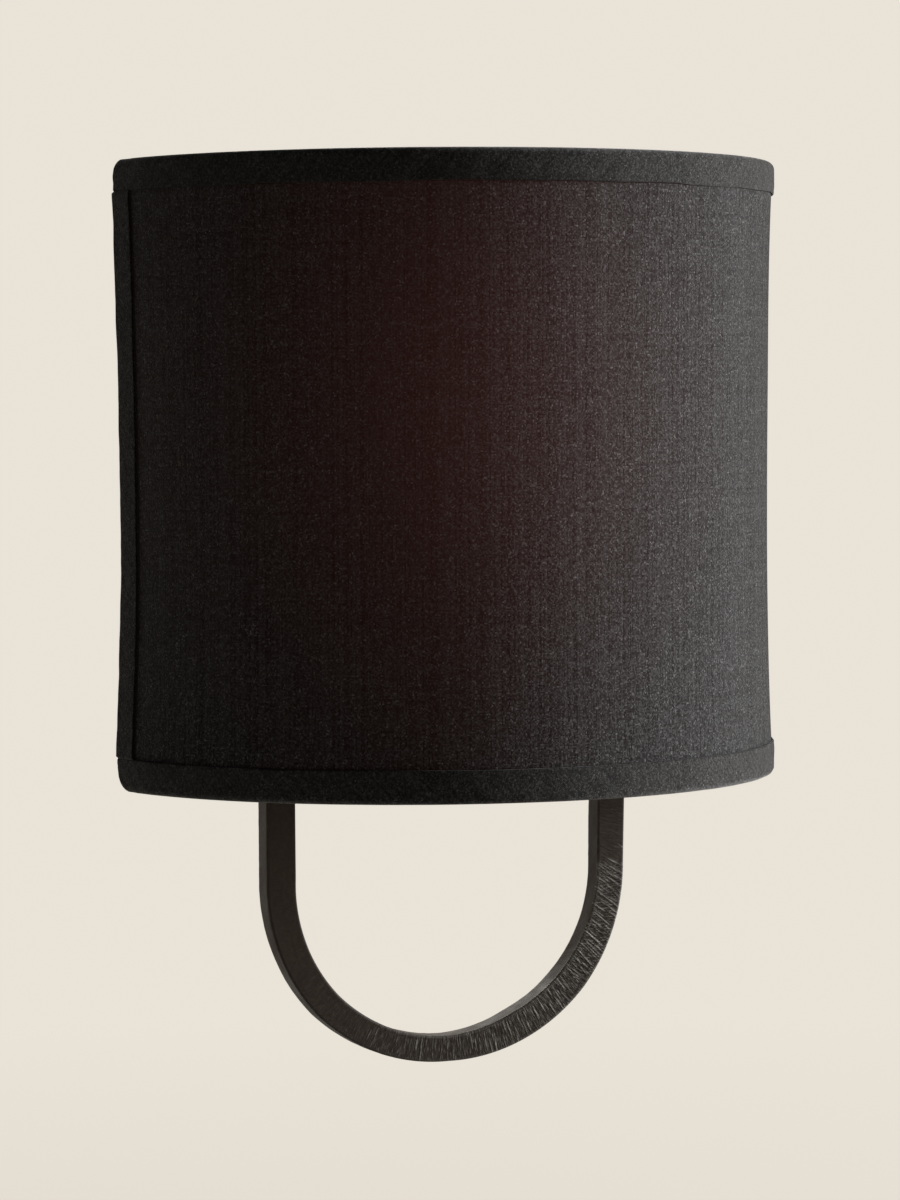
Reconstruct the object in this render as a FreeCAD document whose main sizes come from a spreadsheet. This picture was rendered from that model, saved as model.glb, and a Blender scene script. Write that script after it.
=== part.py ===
import FreeCAD, Part
import math
import os
import re

import Sketcher

# Wall light: a half-round linen shade stands off the wall in front of a shallow steel pan,
# and a forged square iron bar, bent to a U, runs down behind the shade and loops below it.
# Millimetres.  X to the right, Y into the wall, Z up.  The wall is the plane Y = 0 and the
# origin is the middle of the two box-screw slots, at the middle of the shade's height.

DIMENSIONS = [
    # shade cover
    ("shade_radius", 128.5),        # outer face of the cloth
    ("shade_height", 225.0),
    ("shade_projection", 128.0),    # wall to the front of the cloth
    ("cloth_thickness", 0.5),
    ("liner_thickness", 0.5),
    # folded trim tape
    ("tape_width", 11.0),
    ("tape_thickness", 0.7),
    ("tape_ease", 0.2),             # between the tape's fold and the wire in it
    # wire frame of the shade
    ("wire_radius", 1.5),
    ("wire_bend", 3.0),
    # tabs that hold the shade on the pan
    ("tab_thickness", 1.5),
    ("tab_width", 14.0),
    ("tab_corner", 2.9),            # bevels start this far from the hole's middle
    ("tab_hole_radius", 2.2),
    ("tab_overhang", 2.5),          # tab end past the middle of the back wire
    # backplate pan
    ("pan_height", 176.0),
    ("pan_depth", 19.0),
    ("pan_wall", 1.5),
    ("pan_corner", 6.0),
    ("pan_edge_bevel", 1.2),
    ("fixing_inset_x", 16.25),      # shade fixings from the pan's sides
    ("fixing_inset_z", 12.0),       # and from its ends
    # forged loop
    ("loop_radius", 66.0),          # middle of the bar
    ("bar_width", 9.5),
    ("bar_depth", 9.5),
    ("bar_edge_bevel", 0.8),
    ("loop_drop", 36.0),            # shade's lower edge to the centre of the bend
    ("loop_setback", 2.0),          # loop's front face behind the pan's
    ("leg_top", 70.0),
    # machine screws
    ("screw_radius", 1.95),
    ("tapped_clearance", 0.1),
    ("through_clearance", 0.25),
    ("screw_flats", 7.0),
    ("screw_head_height", 2.4),
    # mounting bar on the outlet box
    ("box_screw_spacing", 88.9),
    ("box_slot_length", 12.0),
    ("box_slot_radius", 2.3),
    ("strap_thickness", 2.0),
    ("strap_width", 20.0),
    ("strap_corner", 3.0),
    ("strap_clearance", 1.75),      # from the pan's side walls
    ("strap_wire_hole", 5.25),
    ("canopy_screw_spacing", 69.85),
    ("ground_screw_offset", 18.0),
    # cap screws
    ("nut_flats", 7.0),
    ("nut_height", 6.4),
    ("nut_bevel", 2.2),
    # weld nuts behind the pan, and captive thumb screws
    ("weld_nut_flats", 8.0),
    ("weld_nut_height", 4.3),
    ("thumb_head_radius", 6.0),
    ("thumb_head_height", 8.0),
    ("thumb_screw_bite", 3.5),
    ("knurl_depth", 0.6),
    # locating pins
    ("pin_radius", 2.0),
    ("pin_reach", 5.5),
    # lamp arm
    ("arm_radius", 5.0),
    ("arm_wall", 1.2),
    ("arm_inset", 18.0),            # from the pan's lower end
    ("arm_bend", 14.0),
    ("arm_rise", 30.0),             # middle of the level run to the upper end
    ("lamp_reach", 72.0),           # wall to the lamp's axis
    ("arm_clearance", 0.1),
    ("flange_radius", 13.0),
    ("flange_height", 3.0),
    ("locknut_flats", 14.0),
    ("locknut_height", 3.0),
    ("arm_tail", 1.0),              # thread past the locknut
    # lampholder
    ("cap_radius", 18.0),
    ("cap_height", 10.0),
    ("cap_above", 1.5),             # upper face of the cap above the arm's end
    ("neck_radius", 8.0),
    ("neck_height", 6.0),
    ("cap_slope", 2.5),
    ("sleeve_radius", 17.1),
    ("sleeve_wall", 1.7),
    ("sleeve_height", 34.5),
    ("block_height", 8.5),
    ("shell_radius", 13.4),
    ("shell_wall", 0.4),
    ("shell_height", 22.0),
    ("contact_width", 6.0),
    ("contact_height", 1.5),
    # lamp
    ("bulb_radius", 30.0),
    ("bulb_length", 107.5),
    ("bulb_neck", 13.0),
    ("glass_wall", 1.0),
    ("neck_straight", 5.0),
    ("base_radius", 13.0),
    ("base_crimp", 0.5),
    ("base_height", 22.0),
    ("base_taper", 3.5),
    ("button_radius", 4.5),
    ("button_height", 1.5),
]

PARTS_FOLDER = "parts"
FULL_TURN = "360 deg"
NEVER = "0"
KNURLS = 16
ARM_SIDES = 8
ARM_BENDS = 5
LAMP_SIDES = 24
LAMP_BANDS = (25, 55, 85, 108)      # degrees from the crown where the lamp's bands meet
WIRE_SQUARE = 1.7                   # side of a squared wire, in radii of the round one

# Lengths worked out from the ones above.
WORKED = {
    "axis_y": "shade_radius - shade_projection",
    "cover_inner": "shade_radius - cloth_thickness - liner_thickness",
    "wire_circle": "cover_inner - wire_radius",
    "back_wire_y": "pan_depth + tab_thickness + wire_side / 2",
    "wire_end": "ring_z - wire_side / 2",
    "back_run": "axis_y + back_wire_y",
    "edge_angle": "acos(back_run / wire_circle)",
    "wire_side": "%r * wire_radius" % WIRE_SQUARE,
    "fold_inner": "(cloth_thickness + liner_thickness) / 2 + wire_radius + tape_ease",
    "fold_outer": "fold_inner + tape_thickness",
    "fold_circle": "shade_radius - fold_inner",
    "ring_z": "shade_height / 2 - fold_outer",
    "tape_z": "shade_height / 2 - tape_width",
    "bend_circle": "wire_circle - wire_bend",
    "bend_x": "back_run + wire_bend",
    "bend_y": "sqrt(bend_circle ^ 2 - bend_x ^ 2)",
    "snip_angle": "acos(bend_x / bend_circle)",
    "pan_half_width": "loop_radius - bar_width / 2",
    "pan_floor": "pan_depth - pan_wall",
    "fixing_x": "pan_half_width - fixing_inset_x",
    "fixing_z": "pan_height / 2 - fixing_inset_z",
    "loop_z": "-(shade_height / 2 + loop_drop)",
    "loop_outer": "loop_radius + bar_width / 2",
    "loop_back": "pan_depth - loop_setback - bar_depth",
    "strap_half": "pan_half_width - pan_wall - strap_clearance",
    "canopy_x": "canopy_screw_spacing / 2",
    "tapped_radius": "screw_radius + tapped_clearance",
    "through_radius": "screw_radius + through_clearance",
    "arm_z": "-(pan_height / 2 - arm_inset)",
    "arm_corner": "arm_bend / cos(%r deg)" % (45.0 / ARM_BENDS),
    "arm_bore": "arm_radius + arm_clearance",
    "arm_start": "pan_floor - locknut_height - arm_tail",
    "lamp_z": "arm_z + arm_rise",
    "cap_foot": "cap_above - cap_height",
    "sleeve_inner": "sleeve_radius - sleeve_wall",
    "block_top": "cap_above + block_height",
    "contact_top": "block_top + contact_height",
    "base_foot": "contact_top + button_height + base_taper",
    "base_top": "base_foot + base_height",
    "globe_z": "contact_top + bulb_length - bulb_radius",
    "neck_z": "base_top + neck_straight",
    "blend_rise": "globe_z - neck_z",
    "blend": "(bulb_neck ^ 2 + blend_rise ^ 2 - bulb_radius ^ 2) / (2 * (bulb_radius - bulb_neck))",
}

doc = FreeCAD.newDocument("WallLight")
sheet = doc.addObject("Spreadsheet::Sheet", "Dims")
for row, (alias, size) in enumerate(DIMENSIONS, start=1):
    sheet.set("A%d" % row, alias.replace("_", " "))
    sheet.set("B%d" % row, repr(size))
    sheet.setAlias("B%d" % row, alias)
doc.recompute()

SIZE_NAMES = {alias for alias, size in DIMENSIONS}
PIECES = {}


# --- expressions -------------------------------------------------------------------------

def expand(text):
    """Write a length, given in the names above, as an expression on the sheet's cells."""
    def swap(match):
        word = match.group(0)
        if word in WORKED:
            return "(" + expand(WORKED[word]) + ")"
        if word in SIZE_NAMES:
            return "Dims." + word
        return word
    return re.sub(r"[a-z][a-z_]*", swap, text)


def measure(text):
    """The present value of a length or an angle."""
    result = sheet.evalExpression(expand(text))
    return float(getattr(result, "Value", result))


def place(item, x=NEVER, y=NEVER, z=NEVER, axis=None, angle=0.0):
    """Give a piece its placement: a fixed turn, and a base that follows the sheet."""
    turn = FreeCAD.Rotation(axis, angle) if axis else FreeCAD.Rotation()
    item.Placement = FreeCAD.Placement(FreeCAD.Vector(), turn)
    for name, text in (("x", x), ("y", y), ("z", z)):
        if text != NEVER:
            item.setExpression("Placement.Base." + name, expand(text))


X_AXIS = FreeCAD.Vector(1, 0, 0)
Y_AXIS = FreeCAD.Vector(0, 1, 0)
Z_AXIS = FreeCAD.Vector(0, 0, 1)


def face_room(item, x=NEVER, z=NEVER):
    """Stand a piece on the wall plane, its own Z pointing out into the room."""
    place(item, x=x, z=z, axis=X_AXIS, angle=90.0)


def on_shade_axis(item):
    """Put a piece on the upright axis of the shade's curve, its own X pointing forward."""
    place(item, y="axis_y", axis=Z_AXIS, angle=-90.0)


def on_lamp_axis(item):
    """Put a piece on the lamp's axis, its own origin at the upper end of the arm."""
    place(item, y="-lamp_reach", z="lamp_z")


# --- sketches ----------------------------------------------------------------------------

def new_body(label):
    body = doc.addObject("PartDesign::Body", label)
    body.Label = label
    PIECES[label] = body
    return body


def new_sketch(body, plane, offset=NEVER):
    """A sketch on one of the body's own planes, moved along its normal by offset."""
    sketch = body.newObject("Sketcher::SketchObject", body.Label + "_sketch")
    datum = [item for item in body.Origin.OriginFeatures if item.Role == plane][0]
    sketch.AttachmentSupport = [(datum, "")]
    sketch.MapMode = "FlatFace"
    if offset != NEVER:
        sketch.setExpression("AttachmentOffset.Base.z", expand(offset))
    return sketch


def bind(sketch, constraint, text):
    index = sketch.addConstraint(constraint)
    sketch.setExpression("Constraints[%d]" % index, expand(text))


def pin_x(sketch, side, end, text):
    if text == NEVER:
        sketch.addConstraint(Sketcher.Constraint("PointOnObject", side, end, -2))
    else:
        value = measure(text)
        bind(sketch, Sketcher.Constraint("DistanceX", -1, 1, side, end, value), text)


def pin_y(sketch, side, end, text):
    if text == NEVER:
        sketch.addConstraint(Sketcher.Constraint("PointOnObject", side, end, -1))
    else:
        value = measure(text)
        bind(sketch, Sketcher.Constraint("DistanceY", -1, 1, side, end, value), text)


def add_side(sketch, start, end, arc):
    """Draw one side and return its index and which of its ends come first and last."""
    begin = FreeCAD.Vector(start[0], start[1], 0)
    finish = FreeCAD.Vector(end[0], end[1], 0)
    if arc is None:
        return sketch.addGeometry(Part.LineSegment(begin, finish), False), 1, 2
    centre = FreeCAD.Vector(measure(arc[0]), measure(arc[1]), 0)
    circle = Part.Circle(centre, Z_AXIS, (begin - centre).Length)
    first, last = (begin, finish) if arc[2] == "left" else (finish, begin)
    angles = [math.atan2(p.y - centre.y, p.x - centre.x) for p in (first, last)]
    side = sketch.addGeometry(Part.ArcOfCircle(circle, angles[0], angles[1]), False)
    return (side, 1, 2) if arc[2] == "left" else (side, 2, 1)


def outline(sketch, points, arcs=None, closed=True):
    """Draw a line of sides through points.  arcs gives, for the number of a side that is
    round, its centre and the way it turns, left or right, as it is followed."""
    arcs = arcs or {}
    spots = [(measure(x), measure(y)) for x, y in points]
    count = len(points) if closed else len(points) - 1
    sides = []
    for number in range(count):
        after = (number + 1) % len(points)
        sides.append(add_side(sketch, spots[number], spots[after], arcs.get(number)))
    for number, (side, first, last) in enumerate(sides):
        if closed or number + 1 < count:
            follower = sides[(number + 1) % count]
            sketch.addConstraint(
                Sketcher.Constraint("Coincident", side, last, follower[0], follower[1]))
        pin_x(sketch, side, first, points[number][0])
        pin_y(sketch, side, first, points[number][1])
    if not closed:
        pin_x(sketch, sides[-1][0], sides[-1][2], points[-1][0])
        pin_y(sketch, sides[-1][0], sides[-1][2], points[-1][1])
    for number, arc in arcs.items():
        start = spots[number]
        end = spots[(number + 1) % len(points)]
        if abs(end[0] - start[0]) >= abs(end[1] - start[1]):
            pin_y(sketch, sides[number][0], 3, arc[1])
        else:
            pin_x(sketch, sides[number][0], 3, arc[0])


def circle(sketch, x, y, radius):
    centre = FreeCAD.Vector(measure(x), measure(y), 0)
    side = sketch.addGeometry(Part.Circle(centre, Z_AXIS, measure(radius)), False)
    pin_x(sketch, side, 3, x)
    pin_y(sketch, side, 3, y)
    bind(sketch, Sketcher.Constraint("Radius", side, measure(radius)), radius)


def rounded_rectangle(sketch, half_x, half_y, corner):
    """A rectangle about the sketch's origin, with round corners."""
    near_x = "(%s) - (%s)" % (half_x, corner)
    near_y = "(%s) - (%s)" % (half_y, corner)
    far = {"right": half_x, "left": "-(%s)" % half_x, "top": half_y, "foot": "-(%s)" % half_y}
    less_x = "-(%s)" % near_x
    less_y = "-(%s)" % near_y
    outline(
        sketch,
        [(less_x, far["foot"]), (near_x, far["foot"]), (far["right"], less_y),
         (far["right"], near_y), (near_x, far["top"]), (less_x, far["top"]),
         (far["left"], near_y), (far["left"], less_y)],
        {1: (near_x, less_y, "left"), 3: (near_x, near_y, "left"),
         5: (less_x, near_y, "left"), 7: (less_x, less_y, "left")})


def slot(sketch, x, radius, length):
    """A slot along X, centred at x on the sketch's own X axis."""
    left = "(%s) - (%s) / 2 + (%s)" % (x, length, radius)
    right = "(%s) + (%s) / 2 - (%s)" % (x, length, radius)
    low = "-(%s)" % radius
    outline(
        sketch, [(left, low), (right, low), (right, radius), (left, radius)],
        {1: (right, NEVER, "left"), 3: (left, NEVER, "left")})


def polygon(sketch, count, radius, x=NEVER, y=NEVER, lead=0.0):
    """A regular polygon by its corner radius; lead is the first corner's angle in degrees."""
    corners = []
    for number in range(count):
        angle = "(%r deg)" % (lead + 360.0 * number / count)
        corners.append(("(%s) + (%s) * cos(%s)" % (x, radius, angle),
                        "(%s) + (%s) * sin(%s)" % (y, radius, angle)))
    outline(sketch, corners)


def hexagon(sketch, flats, x=NEVER, y=NEVER):
    polygon(sketch, 6, "(%s) / sqrt(3)" % flats, x, y)


# --- features ----------------------------------------------------------------------------

def pad(body, sketch, length, both_ways=False):
    feature = body.newObject("PartDesign::Pad", body.Label + "_pad")
    feature.Profile = sketch
    feature.setExpression("Length", expand(length))
    feature.Midplane = both_ways
    return feature


def cut(body, sketch, length, both_ways=False, backwards=False):
    """Cut a pocket, and stop if it takes nothing away."""
    doc.recompute()
    before = body.Shape.Volume
    feature = body.newObject("PartDesign::Pocket", body.Label + "_pocket")
    feature.Profile = sketch
    feature.setExpression("Length", expand(length))
    feature.Midplane = both_ways
    feature.Reversed = backwards
    doc.recompute()
    if body.Shape.Volume >= before:
        raise RuntimeError("pocket in %s takes nothing away" % body.Label)
    return feature


def turn(body, sketch, angle=FULL_TURN):
    """Turn a profile about its own upright axis, equally to both sides of the sketch."""
    feature = body.newObject("PartDesign::Revolution", body.Label + "_turn")
    feature.Profile = sketch
    feature.ReferenceAxis = (sketch, ["V_Axis"])
    feature.setExpression("Angle", expand(angle))
    feature.Midplane = angle != FULL_TURN
    return feature


def groove(body, sketch, angle=FULL_TURN):
    doc.recompute()
    before = body.Shape.Volume
    feature = body.newObject("PartDesign::Groove", body.Label + "_groove")
    feature.Profile = sketch
    feature.ReferenceAxis = (sketch, ["V_Axis"])
    feature.setExpression("Angle", expand(angle))
    feature.Midplane = angle != FULL_TURN
    doc.recompute()
    if body.Shape.Volume >= before:
        raise RuntimeError("groove in %s takes nothing away" % body.Label)
    return feature


def sweep(body, profile, path):
    feature = body.newObject("PartDesign::AdditivePipe", body.Label + "_pipe")
    feature.Profile = profile
    feature.Spine = (path, [])
    return feature


def bevel_edges(body, size, chosen):
    """Bevel the edges of the body's last feature that chosen picks."""
    doc.recompute()
    base = body.Tip
    names = ["Edge%d" % number for number, edge in enumerate(base.Shape.Edges, start=1)
             if chosen(edge)]
    feature = body.newObject("PartDesign::Chamfer", body.Label + "_bevel")
    feature.Base = (base, names)
    feature.setExpression("Size", expand(size))
    return feature


def lies_at(edge, axis, value):
    """Whether a whole edge lies in the plane where axis has the value."""
    box = edge.BoundBox
    low, high = {"x": (box.XMin, box.XMax), "y": (box.YMin, box.YMax),
                 "z": (box.ZMin, box.ZMax)}[axis]
    return abs(low - value) < 1e-4 and abs(high - value) < 1e-4


def turned(label, points, arcs=None):
    """A piece turned about its own Z from a profile of radius and height."""
    body = new_body(label)
    profile = new_sketch(body, "XZ_Plane")
    outline(profile, points, arcs)
    turn(body, profile)
    return body


def faceted(label, points, count):
    """A piece about its own Z with flat sides: its outline, given as radius and height from
    its foot to its top, is cut all round a block, once for each side."""
    body = new_body(label)
    foot, top = points[0][1], points[-1][1]
    block = new_sketch(body, "XY_Plane", foot)
    reach = max((radius for radius, height in points), key=measure)
    polygon(block, 4, "2 * (" + reach + ")", lead=45.0)
    pad(body, block, "(%s) - (%s)" % (top, foot))
    waste = new_sketch(body, "XZ_Plane")
    far = "3 * (" + reach + ")"
    outline(waste, points + [(far, top), (far, foot)])
    first = cut(body, waste, "6 * (" + reach + ")", both_ways=True)
    sides = body.newObject("PartDesign::PolarPattern", body.Label + "_sides")
    sides.Originals = [first]
    sides.Axis = (waste, ["V_Axis"])
    sides.Angle = 360.0
    sides.Occurrences = count
    body.Tip = sides
    return body


def tube_profile(inner, outer, low, high):
    return [(inner, low), (outer, low), (outer, high), (inner, high)]


# --- mounting bar and what holds the pan -------------------------------------------------

def mounting_bar():
    body = new_body("mounting_bar")
    flat = new_sketch(body, "XZ_Plane")
    end, near_end = "strap_half", "(strap_half - strap_corner)"
    edge, near_edge = "strap_width / 2", "(strap_width / 2 - strap_corner)"
    outline(flat, [
        ("-" + near_end, "-" + edge), (near_end, "-" + edge), (end, "-" + near_edge),
        (end, near_edge), (near_end, edge), ("-" + near_end, edge), ("-" + end, near_edge),
        ("-" + end, "-" + near_edge)])
    pad(body, flat, "strap_thickness")
    holes = new_sketch(body, "XZ_Plane")
    slot(holes, "-box_screw_spacing / 2", "box_slot_radius", "box_slot_length")
    slot(holes, "box_screw_spacing / 2", "box_slot_radius", "box_slot_length")
    circle(holes, NEVER, NEVER, "strap_wire_hole")
    for x in ("-canopy_x", "canopy_x", "ground_screw_offset"):
        circle(holes, x, NEVER, "tapped_radius")
    cut(body, holes, "strap_thickness", backwards=True)


def shanked(label, low, high, seat, flats, head_height):
    """A screw along its own Z with a hexagonal head on the seat."""
    body = new_body(label)
    shank = new_sketch(body, "XY_Plane", low)
    circle(shank, NEVER, NEVER, "screw_radius")
    pad(body, shank, "(%s) - (%s)" % (high, low))
    head = new_sketch(body, "XY_Plane", seat)
    hexagon(head, flats)
    pad(body, head, head_height)
    return body


def ground_screw():
    body = shanked("ground_screw", NEVER, "strap_thickness", "strap_thickness", "screw_flats",
                   "screw_head_height")
    face_room(body, x="ground_screw_offset")


def canopy_screw(side, sign):
    """Cap screw that holds the pan on the mounting bar."""
    body = shanked(side + "_canopy_screw", NEVER, "pan_depth", "pan_depth", "nut_flats", "nut_height")
    top = measure("pan_depth + nut_height")
    bevel_edges(body, "nut_bevel", lambda edge: lies_at(edge, "z", top))
    face_room(body, x=sign + "canopy_x")


# --- backplate pan -----------------------------------------------------------------------

def backplate():
    """Pan with the weld nuts and locating pins of the shade fixed in its floor."""
    body = new_body("backplate")
    outer = new_sketch(body, "XZ_Plane")
    rounded_rectangle(outer, "pan_half_width", "pan_height / 2", "pan_corner")
    pad(body, outer, "pan_depth")
    front = -measure("pan_depth")
    bevel_edges(body, "pan_edge_bevel", lambda edge: lies_at(edge, "y", front))
    inner = new_sketch(body, "XZ_Plane")
    rounded_rectangle(inner, "pan_half_width - pan_wall", "pan_height / 2 - pan_wall",
                      "pan_corner - pan_wall")
    cut(body, inner, "pan_floor", backwards=True)
    pins = new_sketch(body, "XZ_Plane", "pan_depth")
    nuts = new_sketch(body, "XZ_Plane", "pan_floor - weld_nut_height")
    holes = new_sketch(body, "XZ_Plane")
    for sign in ("-", ""):
        circle(pins, sign + "fixing_x", "-fixing_z", "pin_radius")
        hexagon(nuts, "weld_nut_flats", sign + "fixing_x", "fixing_z")
        circle(holes, sign + "canopy_x", NEVER, "through_radius")
        circle(holes, sign + "fixing_x", "fixing_z", "tapped_radius")
    circle(holes, NEVER, "arm_z", "arm_bore")
    pad(body, pins, "pin_reach")
    pad(body, nuts, "weld_nut_height")
    cut(body, holes, "pan_depth", backwards=True)


# --- forged loop -------------------------------------------------------------------------

def loop():
    """Square bar bent to a U, its legs welded to the sides of the pan."""
    body = new_body("loop")
    bar = new_sketch(body, "XZ_Plane", "loop_back")
    outline(
        bar,
        [("-loop_outer", "leg_top"), ("-loop_outer", "loop_z"), ("loop_outer", "loop_z"),
         ("loop_outer", "leg_top"), ("pan_half_width", "leg_top"), ("pan_half_width", "loop_z"),
         ("-pan_half_width", "loop_z"), ("-pan_half_width", "leg_top")],
        {1: (NEVER, "loop_z", "left"), 5: (NEVER, "loop_z", "right")})
    pad(body, bar, "bar_depth")
    bevel_edges(body, "bar_edge_bevel", lambda edge: True)


# --- lamp arm and lampholder -------------------------------------------------------------

def lamp_arm():
    body = new_body("lamp_arm")
    path = new_sketch(body, "YZ_Plane")
    bend = []
    for number in range(ARM_BENDS):
        angle = "%r deg)" % (90.0 * (number + 0.5) / ARM_BENDS)
        bend.append(("-(lamp_reach - arm_bend + arm_corner * sin(" + angle + ")",
                     "arm_z + arm_bend - arm_corner * cos(" + angle))
    outline(path, [("-arm_start", "arm_z")] + bend + [("-lamp_reach", "lamp_z")], closed=False)
    section = new_sketch(body, "XZ_Plane", "arm_start")
    for radius in ("arm_radius", "arm_radius - arm_wall"):
        polygon(section, ARM_SIDES, radius, y="arm_z", lead=180.0 / ARM_SIDES)
    sweep(body, section, path).Transition = "Right corner"


def arm_fixings():
    flange = faceted("arm_flange", [
        ("flange_radius", "pan_depth"),
        ("flange_radius - flange_height", "pan_depth + flange_height")], LAMP_SIDES)
    bore = new_sketch(flange, "XY_Plane", "pan_depth")
    circle(bore, NEVER, NEVER, "arm_bore")
    cut(flange, bore, "flange_height", backwards=True)
    face_room(flange, z="arm_z")
    nut = new_body("arm_locknut")
    faces = new_sketch(nut, "XY_Plane", "pan_floor - locknut_height")
    hexagon(faces, "locknut_flats")
    circle(faces, NEVER, NEVER, "arm_bore")
    pad(nut, faces, "locknut_height")
    face_room(nut, z="arm_z")


def socket_cap():
    """Cap that grips the arm with its neck."""
    foot = "cap_foot - neck_height"
    body = faceted("socket_cap", [
        ("neck_radius", foot), ("neck_radius", "cap_foot"),
        ("cap_radius - cap_slope", "cap_foot"), ("cap_radius", "cap_foot + cap_slope"),
        ("cap_radius", "cap_above")], LAMP_SIDES)
    bore = new_sketch(body, "XY_Plane", foot)
    circle(bore, NEVER, NEVER, "arm_bore")
    cut(body, bore, "-(" + foot + ")", backwards=True)
    on_lamp_axis(body)


def socket_body():
    """Moulded sleeve with the block at its foot, and the metal parts on the block."""
    rim = "cap_above + sleeve_height"
    on_lamp_axis(turned("socket_sleeve", [
        (NEVER, "cap_above"), ("sleeve_radius", "cap_above"), ("sleeve_radius", rim),
        ("sleeve_inner", rim), ("sleeve_inner", "block_top"), (NEVER, "block_top")]))
    shell = turned("screw_shell", tube_profile(
        "shell_radius", "shell_radius + shell_wall", "block_top", "block_top + shell_height"))
    on_lamp_axis(shell)
    contact = new_body("centre_contact")
    spring = new_sketch(contact, "XY_Plane", "block_top")
    half = "contact_width / 2"
    outline(spring, [("-" + half, "-" + half), (half, "-" + half), (half, half), ("-" + half, half)])
    pad(contact, spring, "contact_height")
    on_lamp_axis(contact)


# --- lamp --------------------------------------------------------------------------------

def globe_points(inset, bands):
    """The lamp's outline from its neck to its crown in straight bands, drawn in by inset."""
    neck = "bulb_neck - " + inset
    share = "(bulb_radius - %s) / (bulb_radius + blend)" % inset
    points = [(neck, "base_top"), (neck, "neck_z"),
              ("(bulb_neck + blend) * " + share, "globe_z - blend_rise * " + share)]
    for angle in reversed(bands):
        points.append(("(bulb_radius - %s) * sin(%d deg)" % (inset, angle),
                       "globe_z + (bulb_radius - %s) * cos(%d deg)" % (inset, angle)))
    return points


def bulb_globe():
    """Glass of the lamp: a flat-sided outer body less its hollow."""
    glass = faceted("bulb_glass", globe_points("0 * glass_wall", LAMP_BANDS), LAMP_SIDES)
    hollow = faceted("bulb_hollow", globe_points("glass_wall", LAMP_BANDS[::2]), LAMP_SIDES)
    globe = doc.addObject("Part::Cut", "bulb_globe")
    globe.Base = glass
    globe.Tool = hollow
    PIECES["bulb_globe"] = globe
    for label in ("bulb_glass", "bulb_hollow"):
        on_lamp_axis(PIECES.pop(label))


def bulb_foot():
    low = "base_foot - base_taper"
    on_lamp_axis(turned("bulb_base", [
        (NEVER, "base_foot"), ("base_radius", "base_foot"), ("base_radius", "base_top"),
        (NEVER, "base_top")]))
    on_lamp_axis(faceted("bulb_insulator", [
        ("button_radius", low), ("base_radius - base_crimp", "base_foot")], LAMP_SIDES))
    on_lamp_axis(faceted("bulb_contact", [
        ("button_radius / 2", "contact_top"), ("button_radius", low)], LAMP_SIDES // 2))


# --- shade -------------------------------------------------------------------------------

def curved_sheet(label, inner, outer):
    body = new_body(label)
    profile = new_sketch(body, "XZ_Plane")
    outline(profile, tube_profile(inner, outer, "-ring_z", "ring_z"))
    turn(body, profile, "2 * edge_angle")
    on_shade_axis(body)


def ring(label, sign):
    """Frame ring: one wire bent to a D, its straight side along the back."""
    body = new_body(label)
    path = new_sketch(body, "XY_Plane", sign + "ring_z")
    share = "wire_circle / bend_circle"
    right = [("bend_x * " + share, "bend_y * " + share), ("back_run", "bend_y")]
    left = [("back_run", "-bend_y"), ("bend_x * " + share, "-bend_y * " + share)]
    outline(
        path, [("wire_circle", NEVER)] + right + left,
        {0: (NEVER, NEVER, "left"), 1: ("bend_x", "bend_y", "left"),
         3: ("bend_x", "-bend_y", "left"), 4: (NEVER, NEVER, "left")})
    section = new_sketch(body, "XZ_Plane")
    polygon(section, 4, "wire_side / sqrt(2)", "wire_circle", sign + "ring_z", lead=45.0)
    sweep(body, section, path)
    on_shade_axis(body)


def edge_point(sign, radius, ahead, angle="edge_angle"):
    """A point at a back edge: a radius, and a length ahead of the angle towards the wall."""
    return ("(%s) * cos(%s) - (%s) * sin(%s)" % (radius, angle, ahead, angle),
            "%s((%s) * sin(%s) + (%s) * cos(%s))" % (sign, radius, angle, ahead, angle))


def upright(side, sign):
    """Upright wire at a back edge, welded between the rings."""
    body = new_body(side + "_upright_wire")
    section = new_sketch(body, "XY_Plane")
    near, far = "wire_circle - wire_side / 2", "wire_circle + wire_side / 2"
    outline(section, [
        edge_point(sign, near, "-wire_side / 2"), edge_point(sign, far, "-wire_side / 2"),
        edge_point(sign, far, "wire_side / 2"), edge_point(sign, near, "wire_side / 2")])
    pad(body, section, "2 * wire_end", both_ways=True)
    on_shade_axis(body)


def folded_profile(sketch, sign):
    """Trim tape in section: down the outside of the cloth, and folded over the ring."""
    leaf = sign + "tape_z"
    hook = sign + "(ring_z - wire_radius)"
    under = sign + "(ring_z + fold_inner)"
    over = sign + "(ring_z + fold_outer)"
    outer = "fold_circle + fold_outer"
    inner = "fold_circle - fold_outer"
    outline(sketch, [
        (outer, leaf), (outer, over), (inner, over), (inner, hook), ("fold_circle - fold_inner", hook),
        ("fold_circle - fold_inner", under), ("shade_radius", under), ("shade_radius", leaf)])


def edge_tape(label, sign):
    """Tape along the upper or lower edge, snipped inside where the ring turns to the back."""
    body = new_body(label)
    profile = new_sketch(body, "XZ_Plane")
    folded_profile(profile, sign)
    turn(body, profile, "2 * (edge_angle + fold_outer / shade_radius * 1 rad)")
    snip = new_sketch(body, "XZ_Plane")
    outline(snip, [
        ("-fold_circle", sign + "(ring_z - 2 * wire_radius)"),
        ("-fold_circle", sign + "shade_height"), ("-bend_x", sign + "shade_height"),
        ("-bend_x", sign + "(ring_z - 2 * wire_radius)")])
    groove(body, snip, "360 deg - 2 * snip_angle")
    on_shade_axis(body)


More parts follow.
